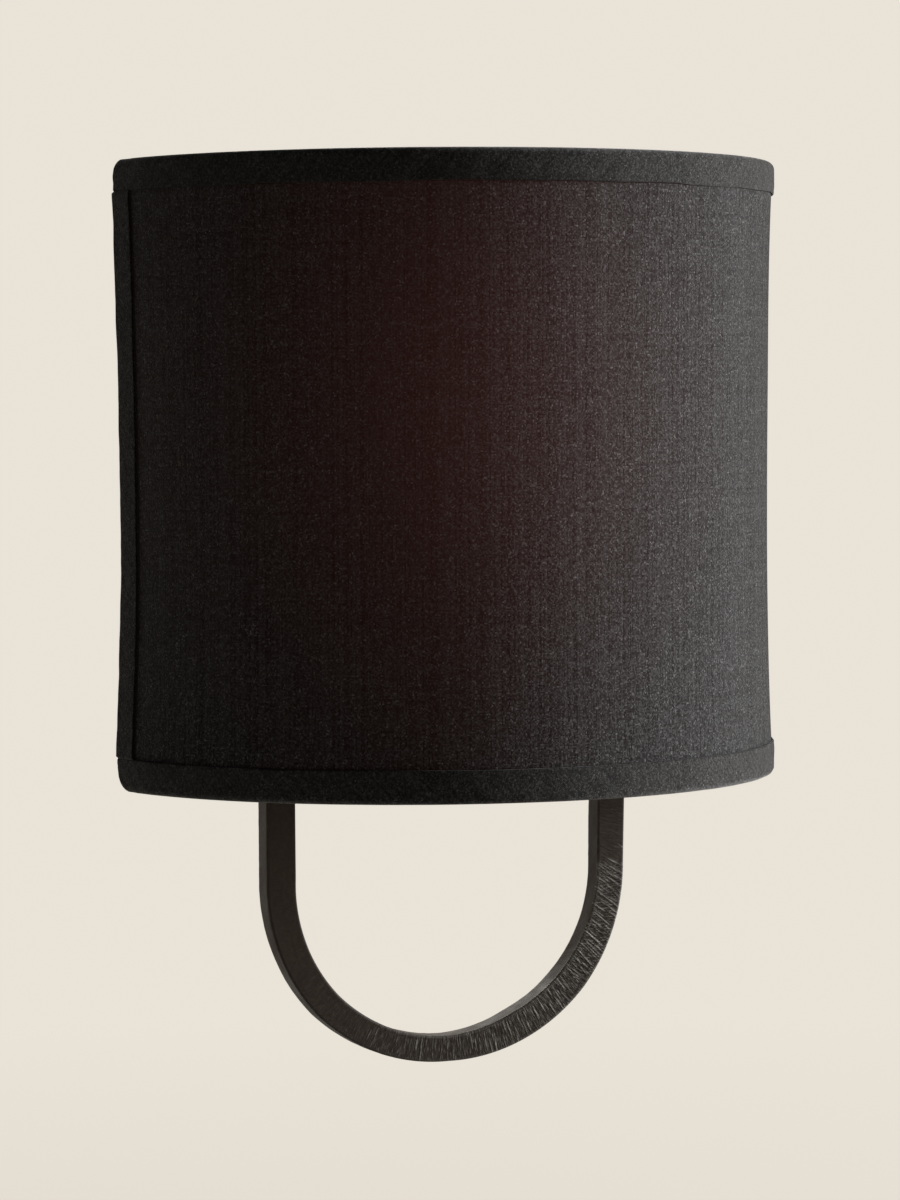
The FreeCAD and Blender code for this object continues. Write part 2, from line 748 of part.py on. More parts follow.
def side_tape(side, sign):
    """Tape down a back edge, folded over the upright and tucked under the edge tapes."""
    body = new_body(side + "_side_tape")
    section = new_sketch(body, "XY_Plane")
    leaf_angle = "(edge_angle - (tape_width - fold_outer) / shade_radius * 1 rad)"

    def at(radius, ahead, angle="edge_angle"):
        return edge_point(sign, radius, ahead, angle)

    outer = "fold_circle + fold_outer"
    way_in = "left" if sign == "" else "right"
    way_out = "right" if sign == "" else "left"
    middle = at("fold_circle", "0")
    outline(
        section,
        [at(outer, "0", leaf_angle), at(outer, "0"), at("fold_circle - fold_outer", "0"),
         at("fold_circle - fold_outer", "-wire_radius"),
         at("fold_circle - fold_inner", "-wire_radius"), at("fold_circle - fold_inner", "0"),
         at("shade_radius", "0"), at("shade_radius", "0", leaf_angle)],
        {0: (NEVER, NEVER, way_in), 1: middle + (way_in,), 5: middle + (way_out,),
         6: (NEVER, NEVER, way_out)})
    pad(body, section, "2 * (ring_z - wire_radius)", both_ways=True)
    laps = new_sketch(body, "XZ_Plane")
    for end in ("-", ""):
        outline(laps, [
            ("shade_radius", end + "tape_z"), ("shade_radius + tape_width", end + "tape_z"),
            ("shade_radius + tape_width", end + "shade_height"),
            ("shade_radius", end + "shade_height")])
    groove(body, laps)
    on_shade_axis(body)


def tab(level, side, sign, up):
    """Flat tab welded behind a back wire, with the hole that meets the pan's fixing."""
    body = new_body("%s_%s_tab" % (level, side))
    flat = new_sketch(body, "XZ_Plane", "pan_depth")
    left = sign + "fixing_x - tab_width / 2"
    right = sign + "fixing_x + tab_width / 2"
    far = up + "(ring_z + tab_overhang)"
    near = up + "(fixing_z - tab_corner)"
    end = up + "(fixing_z - tab_width / 2)"
    outline(flat, [
        (left, far), (left, near), (left + " + tab_width / 2 - tab_corner", end),
        (right + " - tab_width / 2 + tab_corner", end), (right, near), (right, far)])
    circle(flat, sign + "fixing_x", up + "fixing_z", "tab_hole_radius")
    pad(body, flat, "tab_thickness")


def thumb_screw(side, sign):
    """Captive screw with a knurled head, through the upper tab into the pan's weld nut."""
    seat = "pan_depth + tab_thickness"
    tip = "pan_floor - thumb_screw_bite"
    body = new_body(side + "_thumb_screw")
    shank = new_sketch(body, "XY_Plane", tip)
    circle(shank, NEVER, NEVER, "screw_radius")
    pad(body, shank, seat + " - (" + tip + ")")
    head = new_sketch(body, "XY_Plane", seat)
    ridges = []
    for number in range(2 * KNURLS):
        radius = "(thumb_head_radius - knurl_depth)" if number % 2 else "thumb_head_radius"
        angle = " * %s(%r deg)"
        ridges.append((radius + angle % ("cos", 180.0 * number / KNURLS),
                       radius + angle % ("sin", 180.0 * number / KNURLS)))
    outline(head, ridges)
    pad(body, head, "thumb_head_height")
    face_room(body, x=sign + "fixing_x", z="fixing_z")


# --- the whole light ---------------------------------------------------------------------

SIDES = (("left", "-"), ("right", ""))

mounting_bar()
ground_screw()
backplate()
loop()
for side, sign in SIDES:
    canopy_screw(side, sign)
lamp_arm()
arm_fixings()
socket_cap()
socket_body()
bulb_globe()
bulb_foot()
curved_sheet("fabric_cover", "shade_radius - cloth_thickness", "shade_radius")
curved_sheet("liner", "cover_inner", "shade_radius - cloth_thickness")
ring("top_ring", "")
ring("bottom_ring", "-")
edge_tape("top_tape", "")
edge_tape("bottom_tape", "-")
for side, sign in SIDES:
    upright(side, sign)
    side_tape(side, sign)
    tab("upper", side, sign, "")
    tab("lower", side, sign, "-")
    thumb_screw(side, sign)
doc.recompute()

for item in doc.Objects:
    troubles = [state for state in item.State if state in ("Invalid", "Error")]
    if troubles:
        raise RuntimeError("%s: %s" % (item.Label, troubles))
for label, piece in PIECES.items():
    if piece.Shape.isNull() or not piece.Shape.isValid() or len(piece.Shape.Solids) != 1:
        raise RuntimeError("%s is not one valid solid" % label)

os.makedirs(PARTS_FOLDER, exist_ok=True)
for label, piece in PIECES.items():
    piece.Shape.exportStep(os.path.join(PARTS_FOLDER, label + ".step"))
    print("%-24s %10.1f mm3" % (label, piece.Shape.Volume))
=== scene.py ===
import math

import bmesh
import bpy
import numpy as np
from mathutils import Matrix, Vector


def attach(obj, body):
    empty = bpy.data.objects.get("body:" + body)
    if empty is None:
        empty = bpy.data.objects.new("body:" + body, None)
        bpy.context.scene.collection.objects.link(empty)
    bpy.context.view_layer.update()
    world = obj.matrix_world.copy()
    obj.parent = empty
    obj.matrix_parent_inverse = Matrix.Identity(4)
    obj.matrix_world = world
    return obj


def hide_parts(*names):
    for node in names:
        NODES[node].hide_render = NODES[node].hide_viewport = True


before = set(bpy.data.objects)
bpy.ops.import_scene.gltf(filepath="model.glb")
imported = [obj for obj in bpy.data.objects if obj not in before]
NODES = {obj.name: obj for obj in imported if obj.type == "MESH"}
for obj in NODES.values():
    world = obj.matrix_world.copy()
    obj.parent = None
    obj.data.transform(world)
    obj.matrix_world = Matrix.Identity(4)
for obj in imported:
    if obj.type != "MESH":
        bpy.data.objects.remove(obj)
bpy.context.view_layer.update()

# Sizes are in millimetres, in the row frame, as the CAD has them, except where metres are named.
MM = 0.001
TAU = 2 * math.pi

# Shade
AXIS_Y = 0.5                 # upright axis of the shade's curve
SHADE_R = 128.5              # outer face of the cloth
CLOTH = 0.5                  # thickness of the cloth, and of its liner
EDGE_ANGLE = 1.39308         # from straight ahead to the back edge, in radians
WIRE_R = 1.5
WIRE_CIRCLE = 126.0          # middle of the curved wires
WIRE_BEND = 3.0              # at the back corners of a ring
BACK_Y = -21.775             # middle of the straight wires at the back
RING_Z = 109.6
FOLD_CIRCLE = 126.3          # middle of the folded trim
FOLD_IN = 2.2
FOLD_OUT = 2.9
TAPE_W = 11.0
TAPE_T = 0.7
EDGE_TAPE_T = 0.95           # of the upper and lower trim
INNER_LEAF = 1.5             # of the trim, inside the shade
SIDE_REACH = 4.4             # of the side trim, past the middle of its wire
TOP_Z = 112.5
LEAF = TAPE_W - FOLD_OUT     # of the trim, from its free edge to the wire
LAP_Z = TOP_Z - TAPE_W       # where the side trim passes under
EDGE_FOLD, SIDE_FOLD = 1.9, 1.8      # corner radius of the trim's fold
SNIP_END = 10.0              # the edge trim's inner leaf is snipped this far from the back edge
SNIP_OVER = 6.0              # and whole again after as much more
SNIPPED = 0.3                # share of its fold that is left there
TUCK = 1.6                   # the side trim ends this short of the ring's middle
LAP_SINK = 0.55              # of the side trim under the edge trim
LAP_DRAW = 1.3               # of its fold there, back over the wire
UPRIGHT_Z = RING_Z - 1.2     # end of an upright wire
BOW = 1.75                   # inwards, of the back edges, most at BOW_Z
BOW_Z = -28.0
BOW_REACH = 0.34             # round the curve, in radians
WAIST = 0.75                 # inwards, of the cloth between its rings
SWELL = 0.16                 # unevenness of the laminated cloth
SIDE_PUFF = 0.75             # outwards, of the side trim between its laps
LEAN = 1.0                   # to the left, of the lower edge

# Forged loop
BAR = 9.5
BAR_CORNER = 0.8
BAR_FRONT = -17.0
FACE_DEPTH = 3.3             # ahead of the bar's middle, where its front face begins
FACE_POINTS = 36
LOOP_R = 66.0                # middle of the bar, round the bend
LOOP_Z = -148.5              # centre of the bend
LEG_TOP = 70.0
SHOWN_Z = -100.5             # the legs are meshed finely below this
SPREAD_Z = -92.0             # the bar starts to spread below this
SPREAD_OVER = 14.0
COARSE_STEP = 1.3
FINE_STEP = 0.26
STROKES = 2100
STROKE_SPANS = ((2.0, 5.6), (0.16, 0.3), (0.4, 1.0))     # length, width, relative depth
# Round the bend, in degrees from its lowest point, and on past 90 up the right leg: how
# strongly the front is rasped, and the tilt of the strokes from straight across.
WORKED_AT = (-90, -60, -35, -12, 22, 50, 70, 89, 91, 106)
WORKED = (0.03, 0.1, 0.22, 0.55, 0.75, 1.0, 1.0, 1.0, 0.3, 0.16)
STROKE_TILT = (0, 0, 0, 0, 3, 9, 22, 36, 36, 24)
# Spread of the bar beyond its width, to its outer and inner side.
SPREAD_AT = (-90, -62, -45, -20, 0, 25, 50, 70, 90, 106)
SPREAD_OUT = (0.5, 1.5, 1.9, 1.1, 0.3, 0.8, 1.4, 1.1, 0.9, 1.7)
SPREAD_IN = (1.3, 0.1, -0.5, -0.5, -0.2, 1.0, 0.5, 0.3, 0.4, -0.2)

# Fasteners, arm and lamp
ARM_Z = -70.0
ARM_R = 4.95
ARM_BEND = 14.0
LAMP_Y = -72.0
LAMP_Z = -40.0
LAMP_CENTRE = (0, LAMP_Y, LAMP_Z)
THREAD = 3.63                # pitch of the bulb's cap and of its shell
FIX_X = 45.0                 # thumb screws
FIX_Z = 76.0
CANOPY_X = 34.925

# Looks
GLOW = 0.021                 # of the lamp through the cloth
GLOW_RISE = 70.0             # its middle, above the lampholder
GLOW_FALL = (13.0, 4.0, 9.0)     # how fast it falls off each way, per metre
GLOW_COLOUR = (1.0, 0.26, 0.2)
BACKDROP = (0.815, 0.765, 0.685)
AMBIENT = (1.0, 0.97, 0.94)
AMBIENT_STRENGTH = 0.045

# Camera, light and floor are in metres. The camera is the one fitted to the photo: its turn is
# to the right, down and about its axis, in degrees.
CAMERA_SPOT = (-0.592508, -1.461117, 0.026670)
CAMERA_TURN = (22.362, 2.733, -0.457)
CAMERA_LENS = 126.75
# Name, place, target, side, power in watts and colour.
LIGHTS = (("key", (2.5, -0.62, 0.55), (0, -0.05, -0.03), 1.1, 92.0, (1.0, 1.0, 1.0)),
          ("back", (0.3, 2.6, 1.2), (0, 0, -0.03), 1.6, 27.0, (1.0, 0.95, 0.88)))
FLOOR_Z = -0.42
FLOOR_REACH = 60.0
FLOOR_COLOUR = (0.5, 0.47, 0.42)
FLOOR_SEEN = 0.22            # share of the lit floor that the camera sees near the object
FLOOR_GAIN = 1.6             # and how much its paint is lightened there
FLOOR_NEAR, FLOOR_FAR = 0.5, 1.5
BOUNCE = 0.8                 # share of the light that the floor gives back to the object

RNG = np.random.default_rng(7)


# --- numbers -----------------------------------------------------------------------------

def smooth(t):
    t = np.clip(t, 0.0, 1.0)
    return t * t * (3 - 2 * t)


def lattice(ix, iy, seed):
    """Repeatable random numbers from -1 to 1 on a square lattice."""
    n = ix.astype(np.int64) * 374761393 + iy.astype(np.int64) * 668265263 + seed * 974634777
    n = ((n ^ (n >> 13)) & 0x7FFFFFFF) * 1274126177
    n = (n ^ (n >> 16)) & 0xFFFFFF
    return n / float(0x7FFFFF) - 1.0


def noise(x, y, seed=0):
    """Smooth noise from about -1 to 1, one cell to a unit."""
    x, y = np.broadcast_arrays(np.asarray(x, float), np.asarray(y, float))
    ix, iy = np.floor(x), np.floor(y)
    fx, fy = smooth(x - ix), smooth(y - iy)
    low = lattice(ix, iy, seed) * (1 - fx) + lattice(ix + 1, iy, seed) * fx
    high = lattice(ix, iy + 1, seed) * (1 - fx) + lattice(ix + 1, iy + 1, seed) * fx
    return low * (1 - fy) + high * fy


def arc_points(cx, cy, radius, start, end, count):
    angles = np.linspace(start, end, count)
    return [(cx + radius * math.cos(a), cy + radius * math.sin(a)) for a in angles]


def lengths(points):
    """Running length along a line of points."""
    steps = np.linalg.norm(np.diff(np.asarray(points, float), axis=0), axis=1)
    return np.concatenate([[0.0], np.cumsum(steps)])


# --- meshes ------------------------------------------------------------------------------

def finish_piece(obj, body, material, replaces=()):
    obj.data.materials.clear()
    obj.data.materials.append(material)
    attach(obj, body)
    if replaces:
        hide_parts(*replaces)
    return obj


def link(name, data):
    obj = bpy.data.objects.new(name, data)
    bpy.context.scene.collection.objects.link(obj)
    return obj


def lofted(name, rings, close=False, loop=False, caps=True, uv=None, sharp=None):
    """A skin through rings of points, an array of rows, columns and xyz in millimetres.
    close joins the last column to the first, loop the last row to the first."""
    rings = np.asarray(rings, float)
    rows, cols = rings.shape[:2]
    row_steps = rows if loop else rows - 1
    col_steps = cols if close else cols - 1
    faces, corners = [], []
    for i in range(row_steps):
        a = i * cols
        b = ((i + 1) % rows) * cols
        for j in range(col_steps):
            k = (j + 1) % cols
            faces.append((a + j, a + k, b + k, b + j))
            corners.append(((i, j), (i, j + 1), (i + 1, j + 1), (i + 1, j)))
    if close and caps and not loop:
        faces.append(tuple(range(cols))[::-1])
        faces.append(tuple(range((rows - 1) * cols, rows * cols)))
    mesh = bpy.data.meshes.new(name)
    mesh.from_pydata((rings.reshape(-1, 3) * MM).tolist(), [], faces)
    layer = mesh.uv_layers.new(name="cloth")
    if uv is not None:
        uv = np.asarray(uv, float)
        for polygon, places in zip(mesh.polygons, corners):
            for index, (i, j) in zip(polygon.loop_indices, places):
                layer.data[index].uv = uv[i, j]
    mesh.shade_smooth()
    obj = link(name, mesh)
    outward(mesh)
    if sharp is not None:
        mesh.set_sharp_from_angle(angle=math.radians(sharp))
    return obj


def outward(mesh):
    """Turn the faces of a closed mesh to look outwards."""
    work = bmesh.new()
    work.from_mesh(mesh)
    bmesh.ops.recalc_face_normals(work, faces=work.faces)
    work.to_mesh(mesh)
    work.free()


def turned(name, profile, centre=(0, 0, 0), along="z", count=72, ripple=None, caps=True,
           sharp=35):
    """A turning from a line of radius and height about an axis through centre. ripple gives
    the radii round it where they differ, and caps closes its two ends."""
    profile = np.asarray(profile, float)
    angles = np.linspace(0, TAU, count, endpoint=False)
    rings = np.zeros((len(profile), count, 3))
    for i, (radius, height) in enumerate(profile):
        r = ripple(radius, height, angles) if ripple else radius
        rings[i, :, 0] = r * np.cos(angles)
        rings[i, :, 1] = r * np.sin(angles)
        rings[i, :, 2] = height
    rings = aim(rings, along) + np.array(centre, float)
    return lofted(name, rings, close=True, caps=caps, sharp=sharp)


def aim(points, along):
    """Turn points made about Z to stand about another axis; room is -Y, out of the wall."""
    x, y, z = points[..., 0], points[..., 1], points[..., 2]
    ways = {"z": (x, y, z), "room": (x, -z, y), "x": (z, y, -x)}
    return np.stack(ways[along], axis=-1)


def tube(name, path, radius, count=24, loop=False, sharp=None):
    """A round wire along points that turn smoothly."""
    path = np.asarray(path, float)
    ahead = np.roll(path, -1, 0) - np.roll(path, 1, 0)
    if not loop:
        ahead[0] = path[1] - path[0]
        ahead[-1] = path[-1] - path[-2]
    ahead /= np.linalg.norm(ahead, axis=1)[:, None]
    side = np.cross(ahead, [0, 0, 1.0])
    if np.min(np.linalg.norm(side, axis=1)) < 0.1:
        side = np.cross(ahead, [1.0, 0, 0])
    side /= np.linalg.norm(side, axis=1)[:, None]
    up = np.cross(side, ahead)
    angles = np.linspace(0, TAU, count, endpoint=False)
    rings = (path[:, None, :] + radius * (np.cos(angles)[None, :, None] * side[:, None, :]
                                          + np.sin(angles)[None, :, None] * up[:, None, :]))
    return lofted(name, rings, close=True, loop=loop, sharp=sharp)


def softened(node, name, width, segments=2, angle=35):
    """A copy of a CAD node's mesh with its edges rounded."""
    mesh = NODES[node].data.copy()
    mesh.name = name
    work = bmesh.new()
    work.from_mesh(mesh)
    bmesh.ops.remove_doubles(work, verts=work.verts, dist=1e-6)
    bmesh.ops.dissolve_limit(work, angle_limit=math.radians(0.5), verts=work.verts,
                             edges=work.edges)
    work.to_mesh(mesh)
    work.free()
    obj = link(name, mesh)
    bevel = obj.modifiers.new("rounded", "BEVEL")
    bevel.width = width * MM
    bevel.segments = segments
    bevel.limit_method = "ANGLE"
    bevel.angle_limit = math.radians(angle)
    bevel.harden_normals = True
    mesh.shade_smooth()
    return obj


# --- materials ---------------------------------------------------------------------------

class Shader:
    """A material with one Principled shader and short ways to add nodes."""

    def __init__(self, name, **values):
        self.material = bpy.data.materials.new(name)
        self.material.use_nodes = True
        self.tree = self.material.node_tree
        self.bsdf = self.tree.nodes["Principled BSDF"]
        for key, value in values.items():
            self.put(key.replace("_", " ").title().replace("Ior", "IOR"), value)

    def put(self, socket, value):
        target = self.bsdf.inputs[socket]
        if isinstance(value, bpy.types.NodeSocket):
            self.tree.links.new(value, target)
        elif isinstance(value, tuple) and len(value) == 3 and target.type == "RGBA":
            target.default_value = value + (1.0,)
        else:
            target.default_value = value

    def node(self, kind, out=0, props=None, **inputs):
        item = self.tree.nodes.new(kind)
        for key, value in (props or {}).items():
            setattr(item, key, value)
        for key, value in inputs.items():
            target = item.inputs[int(key[1:])] if key[0] == "i" and key[1:].isdigit() \
                else item.inputs[key]
            if isinstance(value, bpy.types.NodeSocket):
                self.tree.links.new(value, target)
            else:
                target.default_value = value
        return item.outputs[out]

    def math(self, operation, a, b=0.0, c=0.0):
        return self.node("ShaderNodeMath", props={"operation": operation}, i0=a, i1=b, i2=c)

    def vector(self, operation, out=0, **inputs):
        return self.node("ShaderNodeVectorMath", out=out, props={"operation": operation},
                         **inputs)

    def total(self, *terms):
        """Sum of values, each with its weight."""
        result = None
        for value, weight in terms:
            part = self.math("MULTIPLY", value, weight)
            result = part if result is None else self.math("ADD", result, part)
        return result

    def tinted(self, colour, factor):
        """A colour times a value."""
        return self.vector("SCALE", i0=colour, Scale=factor)

    def apart(self, vector):
        """The three outputs of a vector taken apart."""
        item = self.tree.nodes.new("ShaderNodeSeparateXYZ")
        self.tree.links.new(vector, item.inputs[0])
        return item.outputs

    def attribute(self, name, out):
        return self.node("ShaderNodeAttribute", out=out, props={"attribute_name": name})

    def scale(self, vector, x, y, z=1.0):
        return self.node("ShaderNodeMapping", Vector=vector, Scale=(x, y, z))

    def noise(self, vector, scale=1.0, detail=2.0, rough=0.5, out=0):
        return self.node("ShaderNodeTexNoise", out=out, Vector=vector, Scale=scale, Detail=detail,
                         Roughness=rough)

    def ramp(self, value, stops):
        item = self.tree.nodes.new("ShaderNodeValToRGB")
        ramp = item.color_ramp
        while len(ramp.elements) < len(stops):
            ramp.elements.new(0.5)
        for element, (place, colour) in zip(ramp.elements, stops):
            element.position = place
            element.color = tuple(colour) + (1.0,)
        self.tree.links.new(value, item.inputs["Fac"])
        return item.outputs["Color"]

    def steps(self, value, low, high, start, end):
        """Map a value between low and high to start and end."""
        return self.node("ShaderNodeMapRange", Value=value, **{
            "From Min": low, "From Max": high, "To Min": start, "To Max": end})

    def bump(self, height, distance, strength):
        return self.node("ShaderNodeBump", Height=height, Distance=distance, Strength=strength)

    def place(self):
        return self.node("ShaderNodeTexCoord", out=3)

    def flat(self):
        return self.node("ShaderNodeUVMap", props={"uv_map": "cloth"})


def woven(name, pitch, colour, contrast, sheen, flecks, edge_shade, bias=0.0):
    """Plain-woven cloth: warp and weft threads at a real pitch, each crossing of its own tone,
    with paler flecks, and painted shade between the crowns of the threads. The map's U and V are
    metres along and across the cloth; bias turns the threads, and the darkening passed in before
    bias is painted shade along the edge of the trim."""
    s = Shader(name, roughness=0.9, sheen_weight=sheen, sheen_roughness=0.45,
               specular_ior_level=0.0)
    flat = s.node("ShaderNodeMapping", Vector=s.flat(), Rotation=(0, 0, bias))
    threads = s.vector("MULTIPLY_ADD", i0=s.noise(flat, 210.0, out=1),
                       i1=(pitch * 1.6, pitch * 1.6, 0), i2=flat)
    threads = s.vector("SCALE", i0=threads, Scale=1 / pitch)
    cell = s.vector("FLOOR", i0=threads)
    within = s.apart(s.vector("FRACTION", i0=threads))
    warp = s.math("SINE", s.math("MULTIPLY", within["X"], math.pi))
    weft = s.math("SINE", s.math("MULTIPLY", within["Y"], math.pi))
    crown = s.math("POWER", s.math("MULTIPLY", warp, weft), 0.5)

    def own(scale, shift=(0.0, 0.0)):
        """A random number for each crossing, or for each thread where one scale is 0."""
        vector = s.node("ShaderNodeMapping", Vector=cell, Scale=scale + (0.0,),
                        Location=shift + (0.0,))
        return s.node("ShaderNodeTexWhiteNoise", props={"noise_dimensions": "2D"}, Vector=vector)

    crossing = s.math("POWER", own((1.0, 1.0)), 2.2)
    slub = s.noise(s.scale(flat, 0.55 / pitch, 46.0), 1.0, 2.0, 0.6)
    cloud = s.noise(flat, 330.0, 3.0, 0.6)
    grain = s.total((crossing, 1.9), (own((1.0, 0.0)), 0.65),
                    (own((0.0, 1.0), (7.5, 0.0)), 0.25), (slub, 0.6), (cloud, 0.35))
    grain = s.math("SUBTRACT", grain, 1.6)
    tone = s.math("MAXIMUM", s.math("MULTIPLY_ADD", grain, contrast, 1.0), 0.12)
    # Painted shade: each crossing is darker towards its edges, between the crowns of the threads.
    tone = s.math("MULTIPLY", tone, s.math("MULTIPLY_ADD", crown, 0.5, 0.65))
    chosen = s.math("MULTIPLY", s.steps(own((1.0, 1.0), (31.5, 11.5)), 0.9, 0.97, 0.0, 1.0),
                    s.steps(cloud, 0.4, 0.6, 0.35, 1.0))
    tone = s.math("MULTIPLY_ADD", chosen, flecks, tone)
    # Painted shade: a dark line on the cloth along the edge of the trim.
    tone = s.math("MULTIPLY", tone, edge_shade(s))
    s.put("Base Color", s.tinted(colour, tone))
    s.put("Sheen Tint", s.tinted((1.0, 0.99, 0.985), s.math("MULTIPLY_ADD", tone, 0.5, 0.76)))
    s.put("Normal", s.bump(s.total((crown, 0.5), (crossing, 0.6), (slub, 0.6)), 0.0002, 0.8))
    return s


def trim_edge_shade(s):
    """Painted shade: a dark line on the cloth along the inner edge of the trim."""
    flat = s.apart(s.flat())
    factors = []
    for axis, edge in (("X", EDGE_ANGLE * SHADE_R - LEAF), ("Y", RING_Z - LEAF)):
        reach = s.math("ABSOLUTE", flat[axis])
        factors.append(s.steps(reach, (edge - 0.75) * MM, (edge - 0.35) * MM, 1.0, 0.3))
    return s.math("MINIMUM", *factors)


def tape_edge_shade(s):
    """Painted shade: a dark line where the trim's free edge turns down to the cloth."""
    return s.steps(s.attribute("free_edge_shade", 2), 0.0, 1.0, 1.0, 0.22)


def powder(name, colour, rough=0.55, grain=0.00005):
    """Powder coat with its fine orange peel."""
    s = Shader(name, base_color=colour, roughness=rough)
    place = s.place()
    peel = s.noise(place, 900.0, 3.0, 0.6)
    s.put("Roughness", s.steps(s.noise(place, 120.0, 2.0), 0.3, 0.7, rough - 0.06, rough + 0.08))
    tint = s.steps(s.noise(place, 35.0, 3.0), 0.3, 0.7, 0.82, 1.12)
    s.put("Base Color", s.tinted(colour, tint))
    s.put("Normal", s.bump(peel, grain, 0.8))
    return s.material


def metal(name, colour, rough, tarnish=(0.6, 0.6, 0.6), wear=0.35):
    """Bare or plated metal with a fine grain and blotches of tarnish."""
    s = Shader(name, base_color=colour, metallic=1.0, roughness=rough)
    place = s.place()
    fine = s.noise(place, 1500.0, 2.0, 0.6)
    blotch = s.noise(place, 140.0, 4.0, 0.6)
    dull = tuple(c * t for c, t in zip(colour, tarnish))
    s.put("Roughness", s.steps(s.math("ADD", fine, blotch), 0.7, 1.3, rough - 0.1, rough + 0.15))
    s.put("Base Color", s.ramp(blotch, [(0.42 - 0.2 * wear, dull), (0.62, colour)]))
    s.put("Normal", s.bump(fine, 0.00004, 0.6))
    return s.material


def moulded(name, colour, rough, coat=0.0):
    """Moulded plastic or dark glass, slightly uneven in tone."""
    s = Shader(name, base_color=colour, roughness=rough, coat_weight=coat)
    place = s.place()
    flow = s.noise(place, 90.0, 4.0, 0.6)
    s.put("Base Color", s.ramp(flow, [(0.35, tuple(0.75 * c for c in colour)),
                                      (0.65, tuple(min(1.0, 1.2 * c) for c in colour))]))
    s.put("Roughness", s.steps(s.noise(place, 400.0, 2.0), 0.3, 0.7, rough - 0.07, rough + 0.1))
    s.put("Normal", s.bump(s.noise(place, 1400.0, 2.0), 0.00003, 0.5))
    return s.material


def forged():
    """Forge-black bar: brown-black scale, and strokes painted bright: burnished metal, and painted
    highlights of the light that grazes them. The lay attribute runs across and along the strokes,
    in millimetres, and tells how strong they are."""
    s = Shader("forged_iron", specular_ior_level=0.16)
    place = s.place()
    burnish_and_highlight = s.attribute("burnish_and_highlight", 2)
    lay = s.attribute("lay", 1)
    strength = s.apart(lay)["Z"]
    lines = s.noise(s.scale(lay, 2.6, 0.32, 0.0), 1.0, 2.0, 0.6)
    scale = s.noise(place, 520.0, 4.0, 0.65)
    patch = s.noise(place, 60.0, 3.0, 0.6)
    base = s.ramp(s.total((scale, 0.5), (patch, 0.5)),
                  [(0.35, (0.023, 0.0158, 0.0112)), (0.65, (0.05, 0.036, 0.0268))])
    # Pale burnished metal and painted highlight: on the stroke ridges, the worn corners and the
    # scored lines.
    rubbed_and_highlight = s.math("MULTIPLY", burnish_and_highlight, s.steps(scale, 0.35, 0.6, 0.6, 1.0))
    scored_and_highlight = s.math("MULTIPLY", strength, s.steps(lines, 0.5, 0.72, 0.0, 0.55))
    rubbed_and_highlight = s.math("MAXIMUM", rubbed_and_highlight, scored_and_highlight)
    between = s.math("MULTIPLY_ADD", strength, -0.42, 1.0)
    base = s.tinted(base, between)
    s.put("Base Color", s.node("ShaderNodeMix", out=2, props={"data_type": "RGBA"}, i0=rubbed_and_highlight,
                               i6=base, i7=(0.42, 0.405, 0.385, 1.0)))
    s.put("Roughness", s.steps(s.math("SUBTRACT", patch, s.math("MULTIPLY", rubbed_and_highlight, 0.4)),
                               0.1, 0.7, 0.4, 0.68))
    s.put("Metallic", s.math("MULTIPLY", rubbed_and_highlight, 0.5))
    height = s.math("MULTIPLY_ADD", s.math("MULTIPLY", lines, strength), 1.4, scale)
    s.put("Normal", s.bump(height, 0.00012, 0.7))
    return s.material


def lamplight(s, strength):
    """Faint red-brown glow of the lamp through black cloth, strongest ahead of the lamp."""
    centre = (0.0, LAMP_Y * MM, (LAMP_Z + GLOW_RISE) * MM)
    away = s.vector("MULTIPLY", i0=s.vector("SUBTRACT", i0=s.place(), i1=centre), i1=GLOW_FALL)
    far = s.vector("LENGTH", out=1, i0=away)
    glow = s.math("POWER", math.e, s.math("MULTIPLY", s.math("MULTIPLY", far, far), -1.0))
    s.put("Emission Color", GLOW_COLOUR)
    s.put("Emission Strength", s.math("MULTIPLY", glow, strength))


LINEN_CLOTH = woven("linen", 0.0005, (0.048, 0.0498, 0.0508), 0.8, 0.43, 3.0, trim_edge_shade)
lamplight(LINEN_CLOTH, GLOW)
LINEN = LINEN_CLOTH.material
TAPE = woven("trim_tape", 0.0005, (0.055, 0.0538, 0.0526), 0.6, 0.45, 1.8, tape_edge_shade,
             math.radians(45)).material
FORGED = forged()
BLACK_STEEL = powder("black_steel", (0.022, 0.022, 0.023))
FRAME_WIRE = powder("frame_wire", (0.72, 0.7, 0.66), 0.45, 0.00003)
ZINC = metal("zinc_steel", (0.6, 0.6, 0.585), 0.36, tarnish=(0.84, 0.83, 0.8))
GREEN = metal("green_screw", (0.06, 0.3, 0.12), 0.38)
BLACK_BRASS = metal("black_brass", (0.075, 0.062, 0.05), 0.36, tarnish=(0.4, 0.4, 0.42),
                    wear=0.8)
BRASS = metal("brass", (0.72, 0.52, 0.24), 0.3, tarnish=(0.6, 0.5, 0.4))
SHELL = metal("shell_metal", (0.6, 0.6, 0.585), 0.3, tarnish=(0.8, 0.79, 0.77))
SOLDER = metal("solder", (0.58, 0.58, 0.56), 0.5)
PHENOLIC = moulded("phenolic", (0.02, 0.018, 0.017), 0.34)
BLACK_GLASS = moulded("black_glass", (0.014, 0.014, 0.018), 0.12, coat=0.4)


def liner_film():
    """White styrene film, faintly textured by the cloth laminated behind it."""
    s = Shader("liner_film", base_color=(0.84, 0.82, 0.76), roughness=0.5)
    flat = s.flat()
    cloth = s.noise(s.scale(flat, 900.0, 900.0), 1.0, 2.0)
    s.put("Base Color", s.ramp(s.noise(flat, 30.0, 3.0),
                               [(0.3, (0.8, 0.77, 0.7)), (0.7, (0.86, 0.84, 0.79))]))
    s.put("Normal", s.bump(cloth, 0.00005, 0.5))
    return s.material


